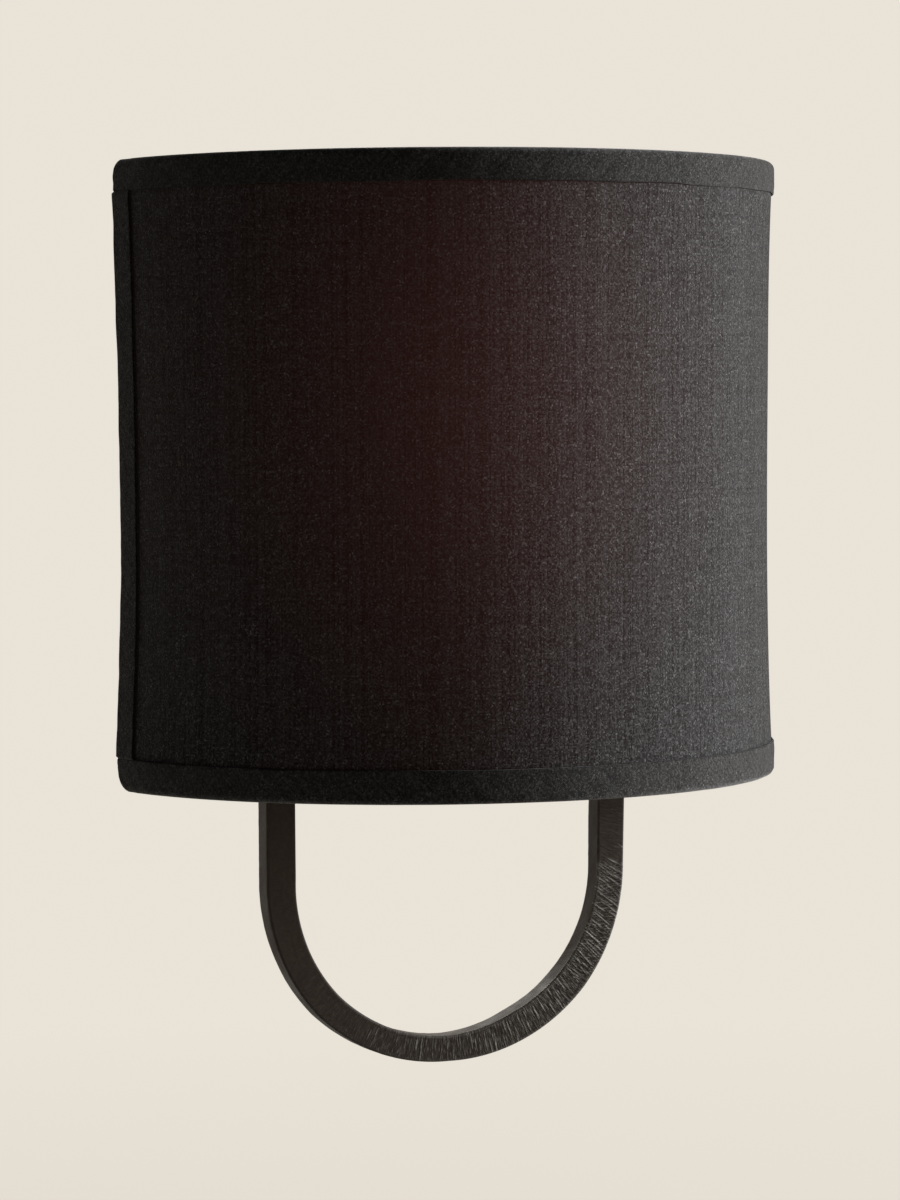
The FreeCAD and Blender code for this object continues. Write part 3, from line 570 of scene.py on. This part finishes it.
def frosted():
    """Inside-frosted glass, lit from within at a low level."""
    s = Shader("frosted_glass", base_color=(0.93, 0.9, 0.84), roughness=0.32,
               emission_color=(1.0, 0.86, 0.68), emission_strength=0.28, coat_weight=0.3)
    mist = s.noise(s.place(), 160.0, 3.0, 0.6)
    s.put("Base Color", s.ramp(mist, [(0.3, (0.88, 0.85, 0.78)), (0.7, (0.96, 0.94, 0.9))]))
    s.put("Roughness", s.steps(mist, 0.3, 0.7, 0.26, 0.4))
    return s.material


LINER = liner_film()
FROSTED = frosted()


# --- shade -------------------------------------------------------------------------------

def bow(theta, z):
    """Inward bow of the shade at its back edges, most a little below the middle."""
    near = np.exp(-((np.abs(theta) - EDGE_ANGLE) / BOW_REACH) ** 2)
    above = np.cos(np.clip((z - BOW_Z) / (LAP_Z - BOW_Z), 0, 1) * math.pi / 2) ** 1.6
    below = np.cos(np.clip((BOW_Z - z) / (LAP_Z + BOW_Z), 0, 1) * math.pi / 2) ** 1.6
    return -BOW * near * above * below


def waist(z):
    """The cloth draws in between its two rings."""
    return -WAIST * (1 - np.clip(np.abs(z) / LAP_Z, 0, 1) ** 6)


def swell(theta, z):
    """Slight unevenness of the laminated cloth between its wires."""
    free = np.cos(np.clip(z / TOP_Z, -1, 1) * math.pi / 2)
    wave = noise(theta * 4.1 + 3, z / 74.0 + 5, 11) + 0.5 * noise(theta * 9.0, z / 33.0, 12)
    return SWELL * wave * free


def on_curve(radius, theta, z):
    """A point of the shade: its radius, its angle from straight ahead and its height."""
    r = radius + bow(theta, z) + waist(z) + swell(theta, z)
    lean = -LEAN * (0.5 - z / (2 * TOP_Z))
    return np.stack([r * np.sin(theta) + lean, AXIS_Y - r * np.cos(theta), z + 0 * r], axis=-1)


def curved_skin(name, inner, outer, material, node, across=220, tall=96):
    """The cloth or its liner as one thin closed skin, with its map in metres."""
    angles = np.linspace(-EDGE_ANGLE, EDGE_ANGLE, across)
    heights = np.linspace(-RING_Z, RING_Z, tall)
    theta, z = np.meshgrid(angles, heights)
    front = on_curve(outer, theta, z)
    back = on_curve(inner, theta, z)
    skin = np.concatenate([front, back[:, ::-1]], axis=1)
    u = np.concatenate([angles, angles[::-1], angles[:1]]) * SHADE_R * MM
    uv = np.stack(np.meshgrid(u, heights * MM), axis=-1)
    obj = lofted(name, skin, close=True, caps=False, uv=uv)
    work = bmesh.new()
    work.from_mesh(obj.data)
    work.verts.ensure_lookup_table()
    cols = 2 * across
    for row in (0, tall - 1):
        line = [work.verts[row * cols + j] for j in range(cols)]
        for j in range(across - 1):
            work.faces.new((line[j], line[j + 1], line[cols - 2 - j], line[cols - 1 - j]))
    bmesh.ops.recalc_face_normals(work, faces=work.faces)
    work.to_mesh(obj.data)
    work.free()
    obj.data.shade_smooth()
    obj.data.set_sharp_from_angle(angle=math.radians(50))
    return finish_piece(obj, "shade", material, [node])


def fold_line(reach, corner, share, leg):
    """Trim tape in section about its fold: across the cloth and along its edge, from the free
    edge of the outer leaf, over the wire, to the free edge inside. share is how much of the
    fold there is, and leg the length of the inner leaf."""
    middle = (FOLD_IN + FOLD_OUT) / 2
    line = [(middle, -LEAF + (LEAF + reach - corner) * t) for t in np.linspace(0, 1, 14)]
    line += arc_points(middle - corner, reach - corner, corner, 0, math.pi / 2, 8)[1:]
    line += [(middle - corner - 2 * (middle - corner) * t, reach)
             for t in np.linspace(0, 1, 5)[1:]]
    line += arc_points(-middle + corner, reach - corner, corner, math.pi / 2, math.pi, 8)[1:]
    whole = lengths(line)
    line += [(-middle, reach - corner - (leg + 0.05) * t) for t in np.linspace(0, 1, 5)[1:]]
    run = lengths(line)
    folded = whole[-1] - (LEAF + reach - corner)
    end = (LEAF + reach - corner) + folded * share if share < 1 else run[-1]
    places = np.concatenate([np.linspace(0, LEAF, 13),
                             np.linspace(LEAF, end, 32)[1:]])
    line = np.array(line)
    return np.column_stack([np.interp(places, run, line[:, 0]),
                            np.interp(places, run, line[:, 1])])


def thicken(line, thickness):
    """A closed outline round a line, with its two ends rounded."""
    ahead = np.gradient(line, axis=0)
    ahead /= np.linalg.norm(ahead, axis=1)[:, None]
    side = np.column_stack([ahead[:, 1], -ahead[:, 0]])
    half = thickness / 2
    start, end = [], []
    for a in (-60, -25, 25, 60):
        turn = math.radians(a)
        start.append(line[0] - half * math.cos(turn) * ahead[0] + half * math.sin(turn) * side[0])
        end.append(line[-1] + half * math.cos(turn) * ahead[-1] - half * math.sin(turn) * side[-1])
    return np.concatenate([start, line + half * side, end, (line - half * side)[::-1]])


def mark_free_edge(obj, rows, cols):
    """Mark the rounded free edge of the trim's outer leaf, where the trim is painted with a line
    of shade.
    """
    marks = np.zeros((rows, cols), np.float32)
    marks[:, :3] = 1.0
    marks[:, 3] = 0.6
    marks[:, -1] = 1.0
    layer = obj.data.attributes.new("free_edge_shade", "FLOAT", "POINT")
    layer.data.foreach_set("value", marks.ravel())


def drape(across, ahead, along, seed):
    """Small unevenness of glued tape: its thickness and the line of its free edge."""
    leaf = smooth(-ahead / 6.0)
    ahead = ahead + leaf * (0.26 * noise(along / 21.0, 0.5, seed)
                            + 0.12 * noise(along / 6.0, 0.5, seed + 1))
    puff = 0.16 * noise(along / 9.0, ahead / 5.0, seed + 2) + 0.07 * noise(
        along / 3.1, ahead / 2.6, seed + 3)
    return across + puff * (across > 0) * smooth((ahead + LEAF) / 1.5), ahead


def tape_map(loop, along, upright):
    """Map of one section of trim, in metres: its place along the tape and the run round it."""
    run = lengths(loop)
    run = np.append(run, run[-1] + 0.3) * MM
    place = np.full(len(run), along * MM)
    return np.column_stack([run, place] if upright else [place, run])


def finish_tape(name, rings, uvs, node):
    rings = np.array(rings)
    obj = lofted(name, rings, close=True, uv=np.array(uvs), sharp=60)
    mark_free_edge(obj, *rings.shape[:2])
    return finish_piece(obj, "shade", TAPE, [node])


def edge_tape(name, sign, node, corner, reach, past):
    """Tape along the upper or lower edge. corner rounds its back corners, reach is how far the
    fold stands off the middle of its wire, and past how far it runs beyond the back edge.
    Near the back edge its inner leaf is snipped away, clear of the straight back wire."""
    overhang = past / SHADE_R
    angles = np.linspace(-EDGE_ANGLE - overhang, EDGE_ANGLE + overhang, 520)
    rings, uvs = [], []
    for theta in angles:
        from_end = (EDGE_ANGLE + overhang - abs(theta)) * SHADE_R
        drop = corner - math.sqrt(max(0.0, corner ** 2 - max(0.0, corner - from_end) ** 2))
        share = SNIPPED + (1 - SNIPPED) * float(smooth((from_end - SNIP_END) / SNIP_OVER))
        loop = thicken(fold_line(reach, EDGE_FOLD, share, INNER_LEAF), EDGE_TAPE_T)
        across, up = drape(loop[:, 0], loop[:, 1], theta * SHADE_R, 21 if sign > 0 else 61)
        across = across + (EDGE_TAPE_T - TAPE_T) / 2
        up = up - drop * smooth((up + LEAF) / (TAPE_W - 1.0))
        rings.append(on_curve(FOLD_CIRCLE + across, theta, sign * (RING_Z + up)))
        uvs.append(tape_map(loop, theta * SHADE_R, False))
    return finish_tape(name, rings, uvs, node)


def side_tape(name, sign, node):
    """Tape down a back edge, folded over the upright wire and tucked under the edge tapes."""
    heights = np.linspace(TUCK - RING_Z, RING_Z - TUCK, 260)
    rings, uvs = [], []
    for z in heights:
        loop = thicken(fold_line(SIDE_REACH, SIDE_FOLD, 1.0, INNER_LEAF), TAPE_T)
        across, ahead = drape(loop[:, 0], loop[:, 1], z, 31 if sign > 0 else 71)
        under = float(smooth((abs(z) - LAP_Z + 1.0) / 1.6))
        across = across + (SIDE_PUFF * (1 - under) - LAP_SINK * under) * (across > 0)
        ahead = ahead - LAP_DRAW * under * smooth(ahead / 2.0)
        theta = sign * (EDGE_ANGLE + ahead / SHADE_R)
        rings.append(on_curve(FOLD_CIRCLE + across, theta, np.full(len(loop), z)))
        uvs.append(tape_map(loop, z, True))
    return finish_tape(name, rings, uvs, node)


def ring_path():
    """Middle line of a frame ring: the curve ahead, a tight bend, the straight back."""
    back = AXIS_Y - BACK_Y
    reach = WIRE_CIRCLE - WIRE_BEND
    ahead = back + WIRE_BEND
    side = math.sqrt(reach ** 2 - ahead ** 2)
    start = math.acos(ahead / reach)

    def bend(sign, first, last):
        return [(sign * side + WIRE_BEND * math.sin(t), AXIS_Y - ahead - WIRE_BEND * math.cos(t))
                for t in np.linspace(first, last, 14)[1:]]

    line = [(WIRE_CIRCLE * math.sin(t), AXIS_Y - WIRE_CIRCLE * math.cos(t))
            for t in np.linspace(-start, start, 190)]
    line += bend(1, start, math.pi)
    line += [(x, BACK_Y) for x in np.linspace(side, -side, 40)[1:]]
    line += bend(-1, -math.pi, -start)[:-1]
    return np.array(line)


def wire_frame():
    """Two closed rings, and the uprights that follow the bow of the back edges."""
    path = ring_path()
    for name, sign in (("top_ring", 1), ("bottom_ring", -1)):
        line = np.column_stack([path, np.full(len(path), sign * RING_Z)])
        finish_piece(tube(name + "_wire", line, WIRE_R, loop=True), "shade", FRAME_WIRE,
                     [name])
    for side, sign in (("left", -1), ("right", 1)):
        heights = np.linspace(-UPRIGHT_Z, UPRIGHT_Z, 60)
        r = WIRE_CIRCLE + bow(EDGE_ANGLE, heights)
        line = np.column_stack([sign * r * math.sin(EDGE_ANGLE), AXIS_Y - r * math.cos(EDGE_ANGLE),
                                heights])
        finish_piece(tube(side + "_upright", line, WIRE_R), "shade", FRAME_WIRE,
                     [side + "_upright_wire"])


# --- forged loop -------------------------------------------------------------------------

def bar_section(half, corner, face):
    """Outline of the bar: outwards, and into the wall. The front face has the most points."""
    ring = []
    sides = ((1, 1, 12), (-1, 1, 12), (-1, -1, face), (1, -1, 12))
    for number, (sx, sy, count) in enumerate(sides):
        start = number * math.pi / 2
        ring += arc_points(sx * (half - corner), sy * (half - corner), corner, start,
                           start + math.pi / 2, 5)
        here = np.array(ring[-1])
        ahead = np.array([(-1, 0), (0, -1), (1, 0), (0, 1)][number])
        ring += [tuple(here + ahead * 2 * (half - corner) * t)
                 for t in np.linspace(0, 1, count)[1:-1]]
    return np.array(ring)


def rasped(stations, out, turn, worked):
    """Height of the rasp strokes on the front face: cuts, each with the burr it throws up."""
    height = np.zeros((len(stations), len(out)))
    first, last = stations[worked > 0.04][[0, -1]]
    for _ in range(STROKES):
        s0 = RNG.uniform(first, last)
        o0 = RNG.uniform(-BAR / 2, BAR / 2)
        long, wide, deep = [RNG.uniform(*span) for span in STROKE_SPANS]
        tilt = float(np.interp(s0, stations, turn)) + RNG.normal(0, 0.07)
        deep *= float(np.interp(s0, stations, worked))
        lo, hi = np.searchsorted(stations, (s0 - 5.0, s0 + 5.0))
        ds = stations[lo:hi, None] - s0
        do = out[None, :] - o0
        along = do * math.cos(tilt) - ds * math.sin(tilt)
        across = do * math.sin(tilt) + ds * math.cos(tilt)
        taper = smooth((long - np.abs(along)) / (0.5 * long))
        height[lo:hi] += deep * taper * (0.75 * np.exp(-((across - 1.5 * wide) / wide) ** 2)
                                         - np.exp(-(across / wide) ** 2))
    return np.clip(height, -1.6, 1.3)


def forged_loop():
    """Square bar bent to a U by hand, its front rasped across, most on the right."""
    half = BAR / 2
    ring = bar_section(half, BAR_CORNER, FACE_POINTS)
    out, deep = ring[:, 0], ring[:, 1]
    size = np.sqrt(out ** 2 + deep ** 2)
    leg = LEG_TOP - LOOP_Z
    arc = LOOP_R * math.pi
    whole = 2 * leg + arc
    shown = LEG_TOP - SHOWN_Z
    hidden = np.arange(0, shown, COARSE_STEP)
    stations = np.concatenate([hidden, np.arange(shown, whole - shown, FINE_STEP),
                               whole - hidden[::-1]])
    psi = np.clip((stations - leg) / LOOP_R - math.pi / 2, -math.pi / 2, math.pi / 2)
    past = np.clip(stations - leg - arc, 0, None)
    height = np.where(stations < leg, LEG_TOP - stations, LOOP_Z + past)
    degrees = np.degrees(psi) + np.where(past > 0, past / 2, 0)
    worked = np.interp(degrees, WORKED_AT, WORKED)
    turn = np.radians(np.interp(degrees, WORKED_AT, STROKE_TILT))
    strokes = rasped(stations, out, turn, worked)
    spread = np.interp(degrees, SPREAD_AT, SPREAD_OUT), np.interp(degrees, SPREAD_AT, SPREAD_IN)
    below = smooth((SPREAD_Z - height) / SPREAD_OVER)
    rings, marks, lays = [], [], []
    for i, s in enumerate(stations):
        on_front = smooth(-deep - FACE_DEPTH)
        side_marks = noise(s / 2.2, deep / 3.5, 43) + 0.6 * noise(s / 5.0, deep / 6.0, 44)
        drawn = noise(out / 1.1, s / 9.0, 47)
        lift = on_front * (0.09 * strokes[i] + 0.02 * drawn - 0.04)
        hammer = 0.1 * noise(s / 13.0, (out + deep) / 9.0, 45)
        outward_share = smooth((out + half) / BAR)
        nudge = below[i] * (spread[0][i] * outward_share - spread[1][i] * (1 - outward_share))
        o = out + (1 - on_front) * out / size * (0.05 * side_marks + hammer) + nudge
        d = np.maximum(deep - lift + 0.5 * hammer * (1 - on_front), -half - 0.12)
        radius = LOOP_R + o
        x, z = radius * math.sin(psi[i]), LOOP_Z - radius * math.cos(psi[i])
        z = z + (height[i] - LOOP_Z)
        rings.append(np.column_stack([x, BAR_FRONT + half + d, z]))
        # The ridges of the strokes are painted bright: burnished metal, and painted highlight of
        # light grazing them.
        ridge_burnish_and_highlight = on_front * smooth((strokes[i] - 0.12) / 0.75)
        marks.append(np.maximum(ridge_burnish_and_highlight, 0.3 * worked[i] * smooth((size - half * 1.24) / 0.5)))
        cosine, sine = math.cos(turn[i]), math.sin(turn[i])
        lays.append(np.column_stack([s * cosine + out * sine, out * cosine - s * sine,
                                     on_front * worked[i]]))
    obj = lofted("forged_loop", np.array(rings), close=True)
    layer = obj.data.attributes.new("burnish_and_highlight", "FLOAT", "POINT")
    layer.data.foreach_set("value", np.array(marks, np.float32).ravel())
    layer = obj.data.attributes.new("lay", "FLOAT_VECTOR", "POINT")
    layer.data.foreach_set("vector", np.array(lays, np.float32).ravel())
    return finish_piece(obj, "wall_frame", FORGED, ["loop"])


# --- fasteners, arm and lamp -------------------------------------------------------------
# Each profile is radius and height, from the wall or from the foot of the lampholder.

def acorn(name, x, node):
    """Cap screw of the canopy: hexagon below, dome above."""
    flats, top = 3.5, 3.1

    def faceted(radius, height, angles):
        hexagon = radius / np.cos((angles % (TAU / 6)) - TAU / 12)
        if height < 22.5:
            return hexagon
        return (hexagon + top) / 2 if height < 22.75 else radius

    profile = [(0.6 * flats, 19.0), (flats, 19.25), (flats, 22.3), (0.93 * flats, 22.7)]
    profile += [(3.0 * math.cos(a), 22.8 + 2.5 * math.sin(a)) for a in np.linspace(0, 1.42, 9)]
    obj = turned(name, profile, (x, 0, 0), "room", ripple=faceted, sharp=30)
    return finish_piece(obj, "wall_frame", BLACK_STEEL, [node])


def thumb_screw(name, x, node):
    """Knurled head with a crowned face and a plain shank."""
    ridges = 30

    def knurled(radius, height, angles):
        if radius < 5.2 or not 22.6 < height < 27.2:
            return radius
        saw = np.abs(((angles * ridges / TAU) % 1.0) - 0.5) * 2
        return radius - 0.42 * (1 - saw)

    profile = [(0.01, 14.0), (1.6, 14.0), (1.95, 14.5), (1.95, 20.5), (4.2, 20.5), (4.4, 20.7),
               (4.4, 21.9), (4.2, 22.1), (5.5, 22.4), (5.9, 22.8), (5.95, 23.4), (5.95, 26.6),
               (5.8, 27.2), (5.3, 27.7), (4.6, 27.95), (4.0, 28.0), (3.7, 27.8), (3.4, 27.5),
               (1.0, 27.4), (0.01, 27.4)]
    obj = turned(name, profile, (x, 0, FIX_Z), "room", count=ridges * 6, ripple=knurled)
    side = "left" if x < 0 else "right"
    return finish_piece(obj, "thumb_screw_" + side, BLACK_BRASS, [node])


def lamp_arm():
    """Tube straight out of the pan, bent up into the lampholder."""
    level_end = LAMP_Y + ARM_BEND
    path = [(0, y, ARM_Z) for y in np.linspace(-13.5, level_end, 12)]
    path += [(0, level_end - ARM_BEND * math.sin(a), ARM_Z + ARM_BEND * (1 - math.cos(a)))
             for a in np.linspace(0, math.pi / 2, 16)[1:]]
    path += [(0, LAMP_Y, z) for z in np.linspace(ARM_Z + ARM_BEND, LAMP_Z, 6)[1:]]
    obj = tube("arm_tube", path, ARM_R, count=40, sharp=40)
    finish_piece(obj, "wall_frame", BLACK_STEEL, ["lamp_arm"])


def lampholder():
    """Collar of the arm, and the cap, grub screw and sleeve of the lampholder."""
    flange = [(5.1, 19.0), (12.6, 19.0), (13.0, 19.3), (13.0, 19.7), (12.4, 20.3), (10.2, 20.7),
              (8.0, 21.3), (7.0, 21.8), (6.4, 22.0), (5.1, 22.0)]
    obj = turned("arm_collar", flange + [flange[0]], (0, 0, ARM_Z), "room", caps=False)
    finish_piece(obj, "wall_frame", BLACK_STEEL, ["arm_flange"])
    cap = [(5.05, -14.5), (7.6, -14.5), (8.0, -14.1), (8.0, -9.2), (8.5, -8.7), (14.6, -8.4),
           (16.2, -7.9), (17.4, -6.8), (17.9, -5.4), (18.0, -4.0), (18.0, 0.9), (17.8, 1.4),
           (17.3, 1.5), (5.05, 1.5)]
    obj = turned("holder_cap", cap + [cap[0]], LAMP_CENTRE, caps=False)
    finish_piece(obj, "wall_frame", BLACK_STEEL, ["socket_cap"])
    grub = [(0.01, 7.7), (1.5, 7.7), (1.5, 9.8), (1.3, 10.0), (0.8, 10.0), (0.8, 9.2),
            (0.01, 9.2)]
    obj = turned("grub_screw", grub, (0, LAMP_Y, LAMP_Z - 11.5), "x", count=24)
    finish_piece(obj, "wall_frame", ZINC)
    sleeve = [(0.01, 1.5), (16.6, 1.5), (16.9, 1.9), (16.9, 8.0), (16.6, 8.3), (16.6, 9.0),
              (16.9, 9.3), (16.9, 27.0), (16.6, 27.3), (16.6, 28.0), (16.9, 28.3), (17.0, 33.6),
              (17.1, 34.0), (17.1, 35.5), (16.7, 36.0), (15.8, 36.0), (15.4, 35.6), (15.4, 10.3),
              (15.0, 10.0), (0.01, 10.0)]
    obj = turned("holder_sleeve", sleeve, LAMP_CENTRE, count=96)
    finish_piece(obj, "wall_frame", PHENOLIC, ["socket_sleeve"])


def helix_shell(name, crest, depth, low, high, wall=0.0):
    """Shell with a rolled screw thread that runs out at both ends. With a wall it comes back
    down inside; without one its ends are closed."""
    heights = np.linspace(low, high, int((high - low) / THREAD * 16))
    angles = np.linspace(0, TAU, 72, endpoint=False)

    def section(h, outer):
        calm = smooth((h - low) / 2.0) * smooth((high - h) / 2.5)
        r = outer - depth * (0.5 - 0.5 * np.cos(TAU * h / THREAD - angles)) * calm
        return np.stack([r * np.cos(angles), r * np.sin(angles), np.full(len(angles), h)], -1)

    rows = [section(h, crest) for h in heights]
    if wall:
        rows += [section(h, crest - wall) for h in heights[::-1]]
    rings = np.array(rows) + np.array(LAMP_CENTRE, float)
    return lofted(name, rings, close=True, loop=bool(wall), caps=not wall, sharp=50)


def bulb():
    """Lamp of 60 mm with a screw cap: its ball blends into the neck through a hollow curve."""
    ball, neck = 30.0, 13.0
    base_top, neck_z, globe_z = 38.5, 43.5, 89.0
    rise = globe_z - neck_z
    blend = (neck ** 2 + rise ** 2 - ball ** 2) / (2 * (ball - neck))
    share = ball / (ball + blend)
    lower = math.asin((neck + blend) * share / ball)
    profile = [(12.6, base_top - 0.5), (neck, base_top), (neck, neck_z)]
    top_angle = math.pi - math.asin((rise - rise * share) / blend)
    for a in np.linspace(math.pi, top_angle, 14)[1:]:
        profile.append((neck + blend + blend * math.cos(a), neck_z + blend * math.sin(a)))
    for a in np.linspace(math.pi - lower, 0.0, 34)[1:]:
        profile.append((max(ball * math.sin(a), 0.01), globe_z + ball * math.cos(a)))
    obj = turned("bulb_glass", profile, LAMP_CENTRE, count=96)
    finish_piece(obj, "bulb", FROSTED, ["bulb_globe"])
    obj = helix_shell("bulb_cap", 13.0, 0.75, 16.5, base_top)
    finish_piece(obj, "bulb", SHELL, ["bulb_base"])
    glass = [(0.01, 13.0), (4.4, 13.0), (4.8, 13.3), (7.0, 14.2), (10.4, 15.6), (12.2, 16.3),
             (12.5, 16.6), (0.01, 16.6)]
    obj = turned("bulb_foot_glass", glass, LAMP_CENTRE)
    finish_piece(obj, "bulb", BLACK_GLASS, ["bulb_insulator"])
    tip = [(0.01, 11.5), (1.4, 11.6), (2.8, 12.0), (4.0, 12.6), (4.4, 13.1), (0.01, 13.1)]
    obj = turned("bulb_tip", tip, LAMP_CENTRE, count=40)
    finish_piece(obj, "bulb", SOLDER, ["bulb_contact"])


# --- assembly ----------------------------------------------------------------------------

cover = curved_skin("linen_cover", SHADE_R - CLOTH, SHADE_R, LINEN, "fabric_cover")
film = curved_skin("liner_skin", SHADE_R - 2 * CLOTH, SHADE_R - CLOTH - 0.02, LINER,
                   "liner")
wire_frame()
tapes = [edge_tape("upper_trim", 1, "top_tape", 3.8, FOLD_OUT - 0.35, 3.0),
         edge_tape("lower_trim", -1, "bottom_tape", 6.4, FOLD_OUT + 0.15, 2.8),
         side_tape("left_trim", -1, "left_side_tape"),
         side_tape("right_trim", 1, "right_side_tape")]
forged_loop()
for side, sign in (("left", -1), ("right", 1)):
    acorn(side + "_acorn_screw", sign * CANOPY_X, side + "_canopy_screw")
    thumb_screw(side + "_knurled_screw", sign * FIX_X, side + "_thumb_screw")
    for level in ("upper", "lower"):
        node = "%s_%s_tab" % (level, side)
        finish_piece(softened(node, node + "_plate", 0.35), "shade", FRAME_WIRE,
                     [node])
for node, name, edge, material, slot in (
        ("backplate", "pan_shell", (0.5, 3, 30), BLACK_STEEL, "black_steel"),
        ("mounting_bar", "strap", (0.3,), ZINC, "zinc_steel"),
        ("ground_screw", "earth_screw", (0.3,), GREEN, "green_screw"),
        ("arm_locknut", "pan_locknut", (0.3,), ZINC, "zinc_steel"),
        ("centre_contact", "spring_contact", (0.3,), BRASS, "brass")):
    finish_piece(softened(node, name, *edge), "wall_frame", material, [node])
lamp_arm()
lampholder()
bulb()
finish_piece(helix_shell("holder_shell", 13.8, 0.35, 10.0, 32.0, 0.36), "wall_frame", SHELL,
             ["screw_shell"])


# --- camera, light and floor -------------------------------------------------------------

def make_camera():
    camera = link("camera", bpy.data.cameras.new("camera"))
    camera.data.sensor_width = 36.0
    camera.data.lens = CAMERA_LENS
    camera.data.clip_end = FLOOR_REACH
    yaw, pitch, roll = [math.radians(angle) for angle in CAMERA_TURN]
    ahead = Vector((math.sin(yaw) * math.cos(pitch), math.cos(yaw) * math.cos(pitch),
                    -math.sin(pitch)))
    turn = ahead.to_track_quat("-Z", "Y").to_matrix() @ Matrix.Rotation(roll, 3, "Z")
    camera.matrix_world = Matrix.Translation(CAMERA_SPOT) @ turn.to_4x4()
    bpy.context.scene.camera = camera


def area_light(name, spot, target, size, power, colour):
    lamp = bpy.data.lights.new(name, "AREA")
    lamp.shape = "SQUARE"
    lamp.size = size
    lamp.energy = power
    lamp.color = colour
    obj = link(name, lamp)
    obj.location = spot
    obj.rotation_mode = "QUATERNION"
    obj.rotation_quaternion = (Vector(target) - Vector(spot)).to_track_quat("-Z", "Y")


def seen_rays(tree):
    """1 for the rays that see the backdrop: the camera's, the mirrored and those let through."""
    path = tree.nodes.new("ShaderNodeLightPath")
    value = path.outputs["Is Camera Ray"]
    for kind in ("Is Glossy Ray", "Is Transmission Ray"):
        either = tree.nodes.new("ShaderNodeMath")
        either.operation = "MAXIMUM"
        tree.links.new(value, either.inputs[0])
        tree.links.new(path.outputs[kind], either.inputs[1])
        value = either.outputs[0]
    return value


def make_world():
    """Backdrop for the rays that see it, and a weak soft light for the rest."""
    world = bpy.data.worlds.new("studio")
    bpy.context.scene.world = world
    world.use_nodes = True
    tree = world.node_tree
    tree.nodes.clear()
    out = tree.nodes.new("ShaderNodeOutputWorld")
    mix = tree.nodes.new("ShaderNodeMixShader")
    tree.links.new(seen_rays(tree), mix.inputs[0])
    for socket, colour, strength in ((1, AMBIENT, AMBIENT_STRENGTH), (2, BACKDROP, 1.0)):
        light = tree.nodes.new("ShaderNodeBackground")
        light.inputs["Color"].default_value = colour + (1.0,)
        light.inputs["Strength"].default_value = strength
        tree.links.new(light.outputs[0], mix.inputs[socket])
    tree.links.new(mix.outputs[0], out.inputs["Surface"])


def make_floor():
    """Pale floor far below, which fades into the backdrop and keeps the light's shadow. To the
    rays that see it, it is backdrop but for a lit share near the object; the others get its
    plain paint."""
    mesh = bpy.data.meshes.new("floor")
    corners = [(x * FLOOR_REACH, y * FLOOR_REACH, FLOOR_Z)
               for x, y in ((-1, -1), (1, -1), (1, 1), (-1, 1))]
    mesh.from_pydata(corners, [], [(0, 1, 2, 3)])
    floor = link("floor", mesh)
    s = Shader("floor_paint", base_color=FLOOR_COLOUR, roughness=1.0, specular_ior_level=0.0)
    s.put("Emission Color", BACKDROP)
    seen = seen_rays(s.tree)
    away = s.vector("LENGTH", out=1, i0=s.place())
    near = s.math("MULTIPLY", s.steps(away, FLOOR_NEAR, FLOOR_FAR, FLOOR_SEEN, 0.0), seen)
    s.put("Emission Strength", s.math("MULTIPLY", s.math("SUBTRACT", 1.0, near), seen))
    plain = s.math("MULTIPLY", s.math("SUBTRACT", 1.0, seen), BOUNCE)
    weight = s.math("MAXIMUM", plain, s.math("MULTIPLY", near, FLOOR_GAIN))
    s.put("Base Color", s.tinted(FLOOR_COLOUR, weight))
    mesh.materials.append(s.material)


make_camera()
make_world()
make_floor()
for light in LIGHTS:
    area_light(*light)

scene = bpy.context.scene
scene.view_settings.view_transform = "Standard"
